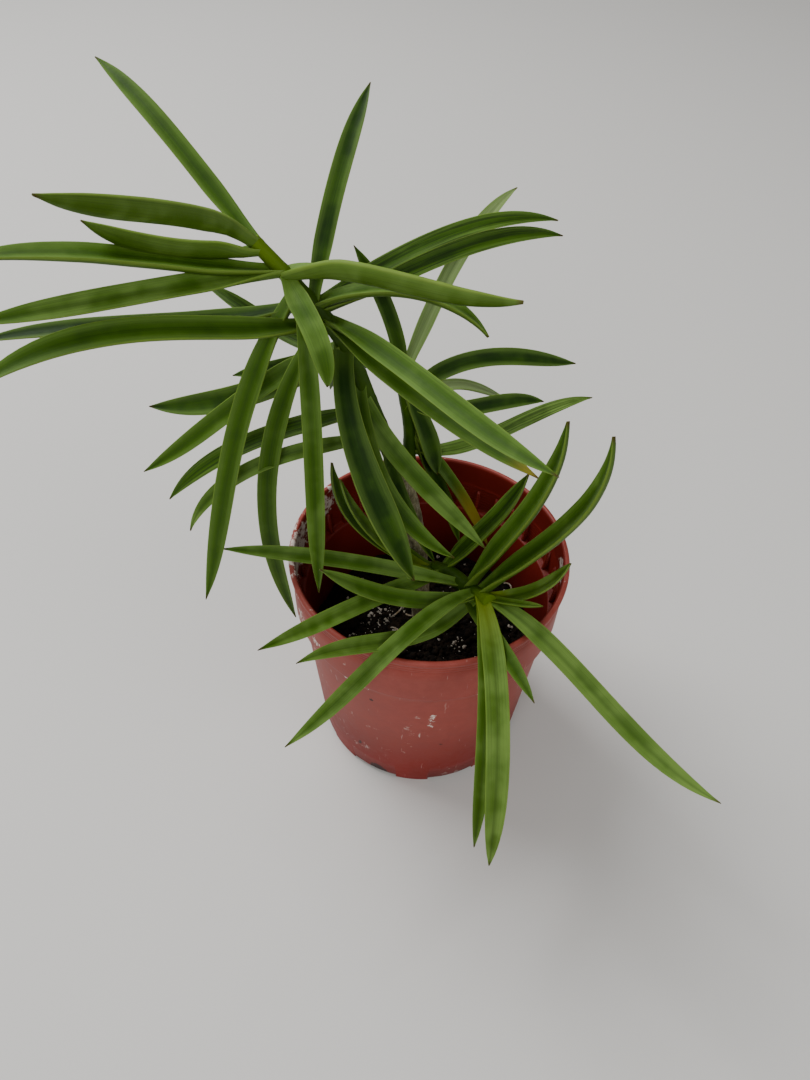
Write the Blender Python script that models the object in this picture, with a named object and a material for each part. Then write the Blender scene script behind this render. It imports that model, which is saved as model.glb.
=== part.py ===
# Potted senecio: a long-leaved succulent house plant in a thin red plastic nursery pot.
# Units: lengths in the lists are millimetres, turned into metres by MM. +Z is up.
# The origin is the centre of the pot's underside. -Y faces the viewer, +X is to the right.
# Bearings turn from +X towards +Y, in degrees. A rise is the angle above the level, in degrees.
import math

import bmesh
import bpy
from mathutils import Matrix, Vector

MM = 0.001
GAP = 0.3

# Pot
POT_HEIGHT = 85.0
LIP_RADIUS = 45.0
LIP_HEIGHT = 1.8
LIP_ROUND = 1.0
SKIRT_RADIUS = 44.2
SKIRT_DROP = 21.0
STEP_DEPTH = 2.4
STEP_SLOPE = 1.5
LEDGE_RISE = 1.2
POT_ROUND = 0.7
BASE_RADIUS = 36.6
WALL = 1.3
FLOOR = 1.6
POT_SIDES = 96
SLOT_COUNT = 8
SLOT_WIDTH = 17.0
SLOT_HEIGHT = 2.1
SLOT_DEPTH = 3.4
FIRST_SLOT_BEARING = 19.0
RIB_COUNT = 36
RIB_THICKNESS = 0.9
RIB_HEIGHT = 7.0
RIB_TOP = 1.0
FIRST_RIB_BEARING = 5.0

# Potting mix
SOIL_LEVEL = 42.0
SOIL_MOUND = 1.6
SOIL_LUMP = 0.7
SOIL_FOOT_ROUND = 0.8
# Waves of the lumpy surface: radians per millimetre along X and along Y, offset and share.
SOIL_WAVES = ((0.71, 0.21, 1.3, 0.8), (-0.24, 0.63, 0.4, 0.7), (0.37, -0.52, 0.0, 0.5))
SOIL_RINGS = 9
SOIL_SIDES = 48

# Stems
STEM_SIDES = 12
STEM_STEP = 4.0
WOODY_RADII = (3.6, 3.0)
BARK_SWELLING = 0.12
HOLE_CLEARANCE = 0.5
WOODY_PATH = ((0, 4, 22), (-1, 5, 40), (-2, 6, 58), (-4, 8, 80), (-7, 8, 98), (-11, 8, 112))
FORK_PATH = ((-7.5, 8.5, 99.0), (-7.5, 12.3, 105.5), (-7.6, 13.0, 111.0))
FORK_RADII = (2.2, 2.2)
KNUCKLE_PATH = ((-2.6, 6.5, 66.0), (-0.6, 4.5, 69.3), (1.8, 2.1, 71.8))
KNUCKLE_RADII = (2.8, 3.2)

# Leaves
LEAF_RINGS = 10
BLADE_THICKNESS = 0.48
ROOT_WIDTH = 0.6
ROOT_STRETCH = 0.3
TIP_STRETCH = 0.5
TIP_CURVE = 3.5
TIP_THINNING = 0.75
# Cross-section of a leaf: a shallow channel above and a soft keel below, in widths and thicknesses.
LEAF_SECTION = ((-0.50, 0.30), (0.0, 0.02), (0.50, 0.30), (0.34, -0.38), (0.0, -0.66), (-0.34, -0.38))

# Each leaf: millimetres along its stem, bearing, sweep of the bearing, its rise at the root, at the middle
# and at the tip, length, width, and its roll: the blade turns by that about its own length near the root.
TALL_PATH = ((-11.2, 8, 112.4), (-18.5, 8, 134), (-26, 8, 156), (-37, 8, 172), (-47.5, 8, 185))
TALL_RADII = (2.9, 1.9)
TALL_LEAVES = {
    "back_left_up": (80, 138, 0, 27, 28, 12, 66, 5.0, -20),
    "front_left_up": (82, -115, 0, 43, 28, 33, 71, 5.6, 60),
    "short_left": (79, -150, 0, 10, 20, 44, 44, 5.0, 80),
    "left_level": (72, -150, 0, 14, 20, 2, 74, 6.0, -10),
    "left_low": (72, -143, 0, 10, 8, 8, 74, 5.6, -30),
    "left_behind": (61, -172, 0, -15, -1, -13, 86, 5.0, -20),
    "left_droop": (54, -145, 0, 6, 17, -28, 90, 6.4, -28),
    "striped_behind": (45, 150, 0, -34, 12, 4, 50, 4.4, -40),
    "hanging_left": (66, -140, 0, -44, -71, -69, 104, 6.0, -40),
    "hanging_curl": (55, -150, 0, -49, -85, -101, 122, 5.8, -60),
    "hanging_front": (66, -76, -20, -30, -74, -84, 92, 5.2, -10),
    "front_curl": (71, -62, 0, -30, -20, -105, 34, 5.8, 20),
    "right_arching": (71, -20, 0, 28, -1, 18, 62, 7.2, -55),
    "right_level": (60, 0, 0, 30, -8, -56, 51, 5.6, 0),
    "right_front": (55, -50, 0, 15, 0, 12, 84, 5.4, 30),
    "right_front_low": (55, -45, 0, -14, -3, 2, 74, 5.4, 20),
    "front_droop": (46, -33, 0, -88, -38, -32, 73, 6.0, 25),
    "upright": (60, 70, 0, 66, 48, 30, 57, 5.0, 10),
    "broad_hanging": (46, -93, 76, -32, -50, -68, 71, 9.0, 10),
    "broad_twin": (35, -90, 80, -60, -42, -25, 61, 6.0, 10),
    "back_right_high": (60, 20, 0, 24, 16, -19, 70, 4.4, 40),
    "back_right_low": (58, 25, 0, 11, 11, -21, 73, 5.0, 45),
    "lower_left_dark": (46, 170, 0, -46, -28, -8, 71, 7.2, -50),
    "lower_left_hooked": (46, -170, 0, -18, -38, -31, 72, 5.6, -48),
    "lower_left_striped": (23, -172, 0, -8, -24, -54, 71, 5.4, -43),
    "lower_left_pale": (12, -165, 0, 4, -19, -72, 71, 4.6, -40),
    "small_behind": (46, 170, 0, -36, -24, -22, 37, 3.8, -50),
    "small_hanging": (12, -60, 0, -60, -70, -80, 24, 4.0, 0),
    "dark_hanging": (10, -70, 75, -58, -62, -66, 45, 4.2, 20),
}

MIDDLE_PATH = ((-7.6, 13.1, 111.6), (-8.0, 14.0, 124.0), (-10.5, 15.0, 138.0), (-11.5, 15.0, 146.0))
MIDDLE_RADII = (2.2, 1.5)
MIDDLE_LEAVES = {
    "long_pale": (28, 50, 0, 56, 46, 4, 65, 4.6, 20),
    "dark_right": (19, 15, 0, 72, 0, -14, 58, 5.2, 40),
    "pale_right": (19, 40, 0, 26, -28, -34, 46, 3.8, 30),
    "striped_right": (4, 20, 0, -34, 18, -7, 63, 4.8, 30),
    "short_right": (19, 20, 0, -36, 0, -26, 47, 5.0, 45),
    "dark_up": (28, 160, 0, 90, 69, 54, 42, 4.4, -50),
    "front_hanging": (28, 10, 0, -62, -73, -84, 40, 5.0, 60),
    "front_inner": (28, 0, 0, -68, -75, -82, 38, 4.4, 50),
    "drying": (11, 10, 0, -55, -62, -70, 63, 4.0, 50),
    "broad_dark": (28, -10, 0, -62, -70, -78, 36, 6.8, 40),
    "low_hanging": (11, 8, 0, -64, -70, -76, 55, 4.8, 50),
    "hidden_back": (24, 85, 0, -20, -40, -60, 62, 5.6, 0),
    "hidden_back_left": (30, 120, 0, -15, -38, -60, 66, 5.6, 0),
}

LOW_PATH = ((2.3, 1.6, 72.6), (7.0, -4.8, 78.0), (13.0, -13.4, 81.5), (18.4, -22.5, 87.0))
LOW_RADII = (3.4, 2.4)
LOW_LEAVES = {
    "right_up": (19, -20, 0, 74, 70, 94, 77, 7.0, 30),
    "far_right_up": (25, -15, 0, 64, 62, 101, 78, 6.8, 16),
    "striped_up": (4, -5, 0, 64, 61, 77, 52, 6.2, 25),
    "young_right": (27, -20, 0, 14, 49, 74, 37, 4.6, 20),
    "bud": (27, -40, 0, 26, 32, 38, 25, 2.8, 0),
    "long_right": (27, -46, 0, 27, -16, 22, 90, 6.0, 25),
    "front_down": (27, -83, -10, 24, -27, -78, 89, 6.6, 0),
    "front_down_twin": (26, -87, -8, 24, -27, -78, 84, 4.6, 0),
    "front_left": (26, -143, 0, -38, 28, 6, 69, 5.4, -25),
    "front_left_low": (24, -134, 0, 38, -12, 3, 78, 5.4, -15),
    "left_low": (7, -135, 0, 30, 17, 20, 77, 5.4, -25),
    "left_level": (17, -178, 0, 20, 12, 3, 76, 5.0, -30),
    "left_rising": (26, -163, 0, -4, 31, 48, 57, 5.4, -30),
    "front_right_low": (15, -73, 8, 8, 14, -8, 54, 4.8, 10),
    "left_upright": (1, -160, 0, 46, 55, 92, 68, 5.8, -40),
    "left_upright_inner": (1, -150, 0, 44, 58, 79, 66, 4.2, -40),
}


def heading(bearing, rise):
    flat = math.cos(rise)
    return Vector((flat * math.cos(bearing), flat * math.sin(bearing), math.sin(rise)))


def smooth_points(corners, step):
    """Points about a step apart on a Catmull-Rom curve through the corners."""
    knots = [Vector(corner) for corner in corners]
    knots = [2 * knots[0] - knots[1]] + knots + [2 * knots[-1] - knots[-2]]
    points = []
    for index in range(1, len(knots) - 2):
        before, start, end, after = knots[index - 1:index + 3]
        count = max(2, round((end - start).length / step))
        for part in range(count):
            t = part / count
            bend = 2 * before - 5 * start + 4 * end - after
            twist = 3 * start - before - 3 * end + after
            points.append(0.5 * (2 * start + t * (end - before) + t * t * bend + t ** 3 * twist))
    points.append(knots[-2])
    return points


def point_along(points, distance):
    """The point at a distance along the points."""
    for start, end in zip(points, points[1:]):
        span = (end - start).length
        if distance <= span:
            return start.lerp(end, distance / span)
        distance -= span
    return points[-1]


def rise_at(leaf, t):
    """Rise of a leaf, part t of the way along it: a parabola through its three rises."""
    first, middle, last = leaf[3:6]
    return math.radians(first * (1 - t) * (1 - 2 * t) + middle * 4 * t * (1 - t) + last * t * (2 * t - 1))


def leaf_rings(root, leaf):
    """Centre, side, face direction, width and thickness at each ring of one leaf."""
    _, bearing, sweep, _, _, _, length, width, roll = leaf
    rings = []
    centre = Vector(root)
    step = length / (LEAF_RINGS - 1)
    for ring in range(LEAF_RINGS):
        t = ring / (LEAF_RINGS - 1)
        turn = math.radians(bearing + sweep * t)
        flat_side = Vector((-math.sin(turn), math.cos(turn), 0))
        flat_face = heading(turn, rise_at(leaf, t) + math.pi / 2)
        root_part = min(1.0, t / ROOT_STRETCH)
        root_part = root_part * root_part * (3 - 2 * root_part)
        tilt = math.radians(roll) * root_part
        side = math.cos(tilt) * flat_side + math.sin(tilt) * flat_face
        face = math.cos(tilt) * flat_face - math.sin(tilt) * flat_side
        tip_part = max(0.0, 1 - (1 - t) / TIP_STRETCH)
        spread = (ROOT_WIDTH + (1 - ROOT_WIDTH) * root_part) * (1 - tip_part ** TIP_CURVE)
        depth = BLADE_THICKNESS * width * (1 - TIP_THINNING * tip_part ** 2)
        rings.append((centre.copy(), side, face, width * spread, depth))
        middle = t + 0.5 / (LEAF_RINGS - 1)
        turn = math.radians(bearing + sweep * middle)
        centre = centre + step * heading(turn, rise_at(leaf, min(1.0, middle)))
    return rings


def finish_mesh(name, mesh_data):
    bmesh.ops.recalc_face_normals(mesh_data, faces=mesh_data.faces)
    mesh = bpy.data.meshes.new(name)
    mesh_data.to_mesh(mesh)
    mesh_data.free()
    thing = bpy.data.objects.new(name, mesh)
    bpy.context.scene.collection.objects.link(thing)
    return thing


def join_rings(mesh_data, rings):
    """Side faces between neighbouring rings of equal length."""
    for lower, upper in zip(rings, rings[1:]):
        count = len(lower)
        for index in range(count):
            following = (index + 1) % count
            mesh_data.faces.new((lower[index], lower[following], upper[following], upper[index]))


def cap_ring(mesh_data, ring, point):
    centre = mesh_data.verts.new(point)
    for index in range(len(ring)):
        mesh_data.faces.new((ring[index], ring[(index + 1) % len(ring)], centre))


def make_leaf(name, root, leaf):
    mesh_data = bmesh.new()
    rings = []
    for centre, side, face, width, depth in leaf_rings(root, leaf)[:-1]:
        ring = []
        for across, up in LEAF_SECTION:
            ring.append(mesh_data.verts.new((centre + side * across * width + face * up * depth) * MM))
        rings.append(ring)
    tip = leaf_rings(root, leaf)[-1][0]
    join_rings(mesh_data, rings)
    cap_ring(mesh_data, rings[0], Vector(root) * MM)
    cap_ring(mesh_data, rings[-1], tip * MM)
    return finish_mesh(name, mesh_data)


def make_tube(name, path, radii, swelling=0.0):
    """A round stem along a path, with flat ends square to it."""
    points = smooth_points(path, STEM_STEP)
    mesh_data = bmesh.new()
    rings = []
    side = Vector((0, 1, 0))
    for index, point in enumerate(points):
        before = points[max(0, index - 1)]
        after = points[min(len(points) - 1, index + 1)]
        along = (after - before).normalized()
        side = (side - side.dot(along) * along).normalized()
        other = along.cross(side)
        part = index / (len(points) - 1)
        radius = radii[0] + (radii[1] - radii[0]) * part + swelling * (index % 2)
        ring = []
        for spoke in range(STEM_SIDES):
            angle = 2 * math.pi * spoke / STEM_SIDES
            outward = math.cos(angle) * side + math.sin(angle) * other
            ring.append(mesh_data.verts.new((point + radius * outward) * MM))
        rings.append(ring)
    join_rings(mesh_data, rings)
    cap_ring(mesh_data, rings[0], points[0] * MM)
    cap_ring(mesh_data, rings[-1], points[-1] * MM)
    return finish_mesh(name, mesh_data)


def make_turned(name, profile, sides):
    """A turned body. The profile starts and ends on the axis; radius and height are in millimetres."""
    mesh_data = bmesh.new()
    rings = []
    for radius, height in profile[1:-1]:
        ring = []
        for spoke in range(sides):
            angle = 2 * math.pi * spoke / sides
            place = Vector((radius * math.cos(angle), radius * math.sin(angle), height))
            ring.append(mesh_data.verts.new(place * MM))
        rings.append(ring)
    join_rings(mesh_data, rings)
    cap_ring(mesh_data, rings[0], (0, 0, profile[0][1] * MM))
    cap_ring(mesh_data, rings[-1], (0, 0, profile[-1][1] * MM))
    return finish_mesh(name, mesh_data)


def make_block(name, low, high):
    """A block between two corners."""
    mesh_data = bmesh.new()
    bmesh.ops.create_cube(mesh_data, size=1.0)
    size = Vector(high) - Vector(low)
    middle = (Vector(high) + Vector(low)) / 2
    bmesh.ops.scale(mesh_data, vec=size * MM, verts=mesh_data.verts)
    bmesh.ops.translate(mesh_data, vec=middle * MM, verts=mesh_data.verts)
    return finish_mesh(name, mesh_data)


def outer_body(mesh):
    """Keep the largest closed body: hollows that a union sealed are filled, and loose scraps are dropped."""
    mesh_data = bmesh.new()
    mesh_data.from_mesh(mesh)
    bodies = []
    seen = set()
    for first in mesh_data.faces:
        if first in seen:
            continue
        seen.add(first)
        body = [first]
        for face in body:
            for edge in face.edges:
                for neighbour in edge.link_faces:
                    if neighbour not in seen:
                        seen.add(neighbour)
                        body.append(neighbour)
        bodies.append(body)
    bodies.sort(key=len, reverse=True)
    for body in bodies[1:]:
        bmesh.ops.delete(mesh_data, geom=body, context="FACES")
    mesh_data.to_mesh(mesh)
    mesh_data.free()


def combine(body, pieces, operation):
    """Apply one Boolean of the pieces to the body, and remove the pieces."""
    group = bpy.data.collections.new(body.name + "_pieces")
    for piece in pieces:
        group.objects.link(piece)
    change = body.modifiers.new("Join", "BOOLEAN")
    change.operation = operation
    change.operand_type = "COLLECTION"
    change.collection = group
    change.solver = "EXACT"
    bpy.context.view_layer.update()
    evaluated = body.evaluated_get(bpy.context.evaluated_depsgraph_get())
    mesh = bpy.data.meshes.new_from_object(evaluated)
    outer_body(mesh)
    body.modifiers.clear()
    body.data = mesh
    for piece in pieces:
        bpy.data.objects.remove(piece)
    bpy.data.collections.remove(group)
    return body


def give_material(thing, colour, roughness):
    material = bpy.data.materials.new(thing.name)
    material.use_nodes = True
    shader = material.node_tree.nodes["Principled BSDF"]
    shader.inputs["Base Color"].default_value = (*colour, 1.0)
    shader.inputs["Roughness"].default_value = roughness
    thing.data.materials.clear()
    thing.data.materials.append(material)


def inner_wall_radius(height):
    """Radius of the pot's inner wall below the ledge."""
    ledge_height = POT_HEIGHT - SKIRT_DROP
    slope = (SKIRT_RADIUS - STEP_DEPTH - BASE_RADIUS) / ledge_height
    return BASE_RADIUS - WALL + slope * height


def make_rib(bearing):
    """A thin upright rib on the ledge inside the skirt. It leans out to the wall at its top."""
    foot = POT_HEIGHT - SKIRT_DROP + LEDGE_RISE - GAP
    inside = inner_wall_radius(foot) + RIB_TOP
    outside = SKIRT_RADIUS - POT_ROUND
    low = (inside, -RIB_THICKNESS / 2, foot)
    high = (outside, RIB_THICKNESS / 2, foot + RIB_HEIGHT)
    rib = make_block("rib", low, high)
    for corner in rib.data.vertices:
        if corner.co.z > foot * MM + GAP * MM and corner.co.x < outside * MM - GAP * MM:
            corner.co.x = (SKIRT_RADIUS - WALL - RIB_TOP) * MM
    rib.data.transform(Matrix.Rotation(math.radians(bearing), 4, "Z"))
    return rib


def make_slot(bearing):
    """A cutter for a drain slot in the pot's foot."""
    low = (BASE_RADIUS - SLOT_DEPTH, -SLOT_WIDTH / 2, -SLOT_HEIGHT)
    high = (BASE_RADIUS + SLOT_DEPTH, SLOT_WIDTH / 2, SLOT_HEIGHT)
    slot = make_block("slot", low, high)
    slot.data.transform(Matrix.Rotation(math.radians(bearing), 4, "Z"))
    return slot


def make_pot():
    step_height = POT_HEIGHT - SKIRT_DROP
    wall_top = SKIRT_RADIUS - STEP_DEPTH
    profile = [
        (0, 0),
        (BASE_RADIUS - POT_ROUND, 0),
        (BASE_RADIUS, POT_ROUND),
        (wall_top, step_height - STEP_SLOPE),
        (SKIRT_RADIUS - POT_ROUND, step_height),
        (SKIRT_RADIUS - POT_ROUND / 2, step_height + LEDGE_RISE),
        (SKIRT_RADIUS, POT_HEIGHT - LIP_HEIGHT - POT_ROUND),
        (LIP_RADIUS, POT_HEIGHT - LIP_HEIGHT),
    ]
    for angle in range(0, 181, 45):
        radius = LIP_RADIUS - LIP_ROUND + LIP_ROUND * math.cos(math.radians(angle))
        profile.append((radius, POT_HEIGHT - LIP_ROUND + LIP_ROUND * math.sin(math.radians(angle))))
    profile += [
        (SKIRT_RADIUS - WALL, step_height + LEDGE_RISE + GAP),
        (inner_wall_radius(step_height) + POT_ROUND, step_height + LEDGE_RISE),
        (inner_wall_radius(step_height), step_height + LEDGE_RISE - POT_ROUND),
        (inner_wall_radius(FLOOR + SOIL_FOOT_ROUND), FLOOR + SOIL_FOOT_ROUND),
        (inner_wall_radius(FLOOR) - SOIL_FOOT_ROUND, FLOOR),
        (0, FLOOR),
    ]
    pot = make_turned("pot", profile, POT_SIDES)
    ribs = [make_rib(FIRST_RIB_BEARING + 360 * index / RIB_COUNT) for index in range(RIB_COUNT)]
    combine(pot, ribs, "UNION")
    slots = [make_slot(FIRST_SLOT_BEARING + 360 * index / SLOT_COUNT) for index in range(SLOT_COUNT)]
    combine(pot, slots, "DIFFERENCE")
    give_material(pot, (0.42, 0.06, 0.04), 0.45)
    return pot


def soil_height(x, y):
    """Lumpy surface of the potting mix, a little higher round the stem."""
    distance = math.hypot(x, y) / inner_wall_radius(SOIL_LEVEL)
    lumps = 0.0
    for along_x, along_y, offset, share in SOIL_WAVES:
        lumps += share * math.sin(along_x * x + along_y * y + offset)
    return SOIL_LEVEL + SOIL_MOUND * (1 - distance ** 2) + SOIL_LUMP * lumps


def make_soil():
    mesh_data = bmesh.new()
    edge_top = inner_wall_radius(SOIL_LEVEL - SOIL_MOUND) - GAP
    edge_foot = inner_wall_radius(FLOOR) - 2 * GAP
    floor_height = FLOOR + GAP
    outline = [(edge_foot - SOIL_FOOT_ROUND, floor_height), (edge_foot, floor_height + SOIL_FOOT_ROUND)]
    rings = []
    for radius, height in outline:
        ring = []
        for spoke in range(SOIL_SIDES):
            angle = 2 * math.pi * spoke / SOIL_SIDES
            place = (radius * math.cos(angle), radius * math.sin(angle), height)
            ring.append(mesh_data.verts.new(Vector(place) * MM))
        rings.append(ring)
    for step in range(SOIL_RINGS):
        radius = edge_top * (1 - step / SOIL_RINGS)
        ring = []
        for spoke in range(SOIL_SIDES):
            angle = 2 * math.pi * spoke / SOIL_SIDES
            x = radius * math.cos(angle)
            y = radius * math.sin(angle)
            ring.append(mesh_data.verts.new(Vector((x, y, soil_height(x, y))) * MM))
        rings.append(ring)
    join_rings(mesh_data, rings)
    cap_ring(mesh_data, rings[0], (0, 0, floor_height * MM))
    cap_ring(mesh_data, rings[-1], (0, 0, soil_height(0, 0) * MM))
    soil = finish_mesh("soil", mesh_data)
    hole_path = [Vector(WOODY_PATH[0]) - Vector((0, 0, GAP)), *WOODY_PATH[1:3]]
    hole_radius = WOODY_RADII[0] + HOLE_CLEARANCE
    hole = make_tube("hole", hole_path, (hole_radius, hole_radius))
    combine(soil, [hole], "DIFFERENCE")
    give_material(soil, (0.012, 0.009, 0.007), 0.95)
    return soil


def make_woody_stem():
    stem = make_tube("woody_stem", WOODY_PATH, WOODY_RADII, BARK_SWELLING)
    fork = make_tube("fork", FORK_PATH, FORK_RADII)
    knuckle = make_tube("knuckle", KNUCKLE_PATH, KNUCKLE_RADII)
    combine(stem, [fork, knuckle], "UNION")
    give_material(stem, (0.27, 0.24, 0.15), 0.8)
    return stem


def make_shoot(name, path, radii, leaves, colour):
    """A green stem and its leaves, joined in one body."""
    stem = make_tube(name, path, radii)
    points = smooth_points(path, STEM_STEP)
    blades = []
    for leaf_name, leaf in leaves.items():
        blades.append(make_leaf(leaf_name, point_along(points, leaf[0]), leaf))
    combine(stem, blades, "UNION")
    give_material(stem, colour, 0.5)
    return stem


def main():
    for thing in list(bpy.data.objects):
        bpy.data.objects.remove(thing)
    make_pot()
    make_soil()
    make_woody_stem()
    make_shoot("tall_shoot", TALL_PATH, TALL_RADII, TALL_LEAVES, (0.13, 0.25, 0.03))
    make_shoot("middle_shoot", MIDDLE_PATH, MIDDLE_RADII, MIDDLE_LEAVES, (0.07, 0.13, 0.025))
    make_shoot("low_shoot", LOW_PATH, LOW_RADII, LOW_LEAVES, (0.17, 0.30, 0.04))


main()
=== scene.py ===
# %% [markdown]
# # A potted senecio, leaf by leaf
# A small succulent with long pointed leaves grows in a thin red plastic nursery pot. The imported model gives
# the frame: where the pot stands, how deep the potting mix lies and where each shoot goes. This lesson puts a
# finer skin over each of its solids, and adds crumbs, fibres, bark and colour. Lengths are in millimetres until
# a mesh is made, and MM turns them into metres. Bearings turn from +X towards +Y, and a rise is the angle above
# the level, both in degrees.

# %% Load the frame
import math
import random

import bmesh
import bpy
from mathutils import Matrix, Vector, noise


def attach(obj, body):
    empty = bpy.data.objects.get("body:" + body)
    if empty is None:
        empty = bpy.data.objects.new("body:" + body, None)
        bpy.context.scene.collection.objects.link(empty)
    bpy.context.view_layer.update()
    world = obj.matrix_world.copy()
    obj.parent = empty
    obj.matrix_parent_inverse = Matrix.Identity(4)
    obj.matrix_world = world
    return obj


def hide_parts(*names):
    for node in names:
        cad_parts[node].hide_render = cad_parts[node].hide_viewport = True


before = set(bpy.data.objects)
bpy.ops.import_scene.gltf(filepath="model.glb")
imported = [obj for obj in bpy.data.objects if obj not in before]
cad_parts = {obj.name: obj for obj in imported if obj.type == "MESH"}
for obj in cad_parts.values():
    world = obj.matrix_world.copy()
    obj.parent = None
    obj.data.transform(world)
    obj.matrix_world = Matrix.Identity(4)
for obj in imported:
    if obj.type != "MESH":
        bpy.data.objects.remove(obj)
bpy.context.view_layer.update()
MM = 0.001
print("solids in the frame:", sorted(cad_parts))

# %% [markdown]
# ## Camera first
# The photograph looks down on the plant at nearly half a right angle, from close by. The camera was found from
# the two circles that the picture gives away, the pot's lip and its foot. A camera looks along its own -Z, so
# its turn is written as three axes: right, up and backwards.

# %% The camera
IMAGE_WIDTH = 810
IMAGE_HEIGHT = 1080
FOCAL_PIXELS = 870.0
SENSOR = 36.0
CAMERA_PLACE = Vector((-7.9, -187.2, 291.6))
CAMERA_DIP = math.radians(47.31)
CAMERA_ROLL = math.radians(2.18)


def make_camera():
    forward = Vector((0, math.cos(CAMERA_DIP), -math.sin(CAMERA_DIP)))
    level = Vector((1, 0, 0))
    top = level.cross(forward)
    right = math.cos(CAMERA_ROLL) * level + math.sin(CAMERA_ROLL) * top
    up = math.cos(CAMERA_ROLL) * top - math.sin(CAMERA_ROLL) * level
    turn = Matrix((right, up, -forward)).transposed().to_4x4()
    data = bpy.data.cameras.new("camera")
    data.sensor_width = SENSOR
    data.lens = SENSOR * FOCAL_PIXELS / IMAGE_HEIGHT
    data.clip_start = 0.01
    camera = bpy.data.objects.new("camera", data)
    camera.matrix_world = Matrix.Translation(CAMERA_PLACE * MM) @ turn
    bpy.context.scene.collection.objects.link(camera)
    bpy.context.scene.camera = camera
    print("camera lens in mm:", round(data.lens, 2))


make_camera()

# %% [markdown]
# ## Helpers for node trees
# Materials and Geometry Nodes are both trees of nodes. One small function places a node, sets its options, and
# fills each socket with a number or with a link, so that a tree reads like a recipe.

# %% Node helpers


def place(tree, kind, inputs=None, **options):
    """Add a node. An input is a plain value or another node's output."""
    node = tree.nodes.new(kind)
    for option, value in options.items():
        setattr(node, option, value)
    for socket, value in (inputs or {}).items():
        if isinstance(value, bpy.types.NodeSocket):
            tree.links.new(value, node.inputs[socket])
        else:
            node.inputs[socket].default_value = value
    return node


def maths(tree, operation, first, second=0.0, third=0.0):
    inputs = {0: first, 1: second, 2: third}
    return place(tree, "ShaderNodeMath", inputs, operation=operation).outputs[0]


def window(tree, value, low, high, to_low=0.0, to_high=1.0):
    """A smooth step from to_low to to_high while the value goes from low to high."""
    inputs = {"Value": value, "From Min": low, "From Max": high, "To Min": to_low, "To Max": to_high}
    node = place(tree, "ShaderNodeMapRange", inputs, interpolation_type="SMOOTHSTEP")
    return node.outputs["Result"]


def colour(red, green, blue):
    """A screen colour, 0 to 255, as the linear colour that a shader wants."""
    linear = [(part / 255.0) ** 2.2 for part in (red, green, blue)]
    return (*linear, 1.0)


def blend(tree, factor, under, over, mode="MIX"):
    inputs = {"Factor": factor, 6: under, 7: over}
    node = place(tree, "ShaderNodeMix", inputs, data_type="RGBA", blend_type=mode, clamp_factor=True)
    return node.outputs[2]


def fine_noise(tree, vector, scale, detail=3.0, roughness=0.55):
    inputs = {"Vector": vector, "Scale": scale, "Detail": detail, "Roughness": roughness}
    return place(tree, "ShaderNodeTexNoise", inputs).outputs[0]


def attribute(tree, name):
    return place(tree, "ShaderNodeAttribute", attribute_name=name).outputs["Fac"]


def new_material(name):
    """A material with a bare Principled shader, and its tree."""
    material = bpy.data.materials.new(name)
    material.use_nodes = True
    tree = material.node_tree
    return material, tree, tree.nodes["Principled BSDF"]


def finish_shader(tree, shader, base, roughness, height, bump_strength, bump_distance):
    """Join colour, roughness and relief to the shader."""
    tree.links.new(base, shader.inputs["Base Color"])
    tree.links.new(roughness, shader.inputs["Roughness"])
    inputs = {"Height": height, "Strength": bump_strength, "Distance": bump_distance}
    relief = place(tree, "ShaderNodeBump", inputs)
    tree.links.new(relief.outputs[0], shader.inputs["Normal"])


# %% [markdown]
# ## Three effects that several finishes share
# Real surfaces of this plant have three things in common. They are mottled, they have streaks along their
# growth or their draw out of the mould, and dust and lime settle on them. Each effect is a shader node group
# that gives out only masks, built once and used in each material with its own sizes.

# %% Shared groups: mottle, streaks and deposit


def start_group(name, inputs, outputs):
    """A shader group with number or vector inputs and number outputs, and its two end nodes."""
    group = bpy.data.node_groups.new(name, "ShaderNodeTree")
    for label, kind, value in inputs:
        socket = group.interface.new_socket(label, in_out="INPUT", socket_type=kind)
        if kind == "NodeSocketFloat":
            socket.default_value = value
    for label in outputs:
        group.interface.new_socket(label, in_out="OUTPUT", socket_type="NodeSocketFloat")
    entry = group.nodes.new("NodeGroupInput")
    leave = group.nodes.new("NodeGroupOutput")
    return group, entry.outputs, leave.inputs


def make_mottle_group():
    """Soft patches with a finer grain in them."""
    sockets = [("Vector", "NodeSocketVector", None), ("Scale", "NodeSocketFloat", 100.0)]
    group, given, result = start_group("mottle", sockets, ("Patches", "Grain"))
    patches = fine_noise(group, given["Vector"], given["Scale"], 2.0)
    fine_scale = maths(group, "MULTIPLY", given["Scale"], 7.0)
    grain = fine_noise(group, given["Vector"], fine_scale, 4.0, 0.65)
    group.links.new(window(group, patches, 0.3, 0.7), result["Patches"])
    group.links.new(grain, result["Grain"])
    return group


def make_streak_group():
    """Thin lines along a surface: many across, long along, and different for each seed."""
    sockets = [("Across", "NodeSocketFloat", 0.0), ("Along", "NodeSocketFloat", 0.0)]
    sockets += [("Seed", "NodeSocketFloat", 0.0), ("Count", "NodeSocketFloat", 8.0)]
    sockets += [("Share", "NodeSocketFloat", 0.5)]
    group, given, result = start_group("streaks", sockets, ("Lines", "Relief"))
    stretched = maths(group, "MULTIPLY", given["Across"], given["Count"])
    inputs = {"X": stretched, "Y": given["Along"], "Z": given["Seed"]}
    vector = place(group, "ShaderNodeCombineXYZ", inputs).outputs[0]
    field = fine_noise(group, vector, 1.0, 3.0, 0.6)
    low = maths(group, "SUBTRACT", 1.0, given["Share"])
    edge = maths(group, "MULTIPLY_ADD", low, 0.35, 0.3)
    high = maths(group, "ADD", edge, 0.12)
    group.links.new(window(group, field, edge, high), result["Lines"])
    group.links.new(field, result["Relief"])
    return group


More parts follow.
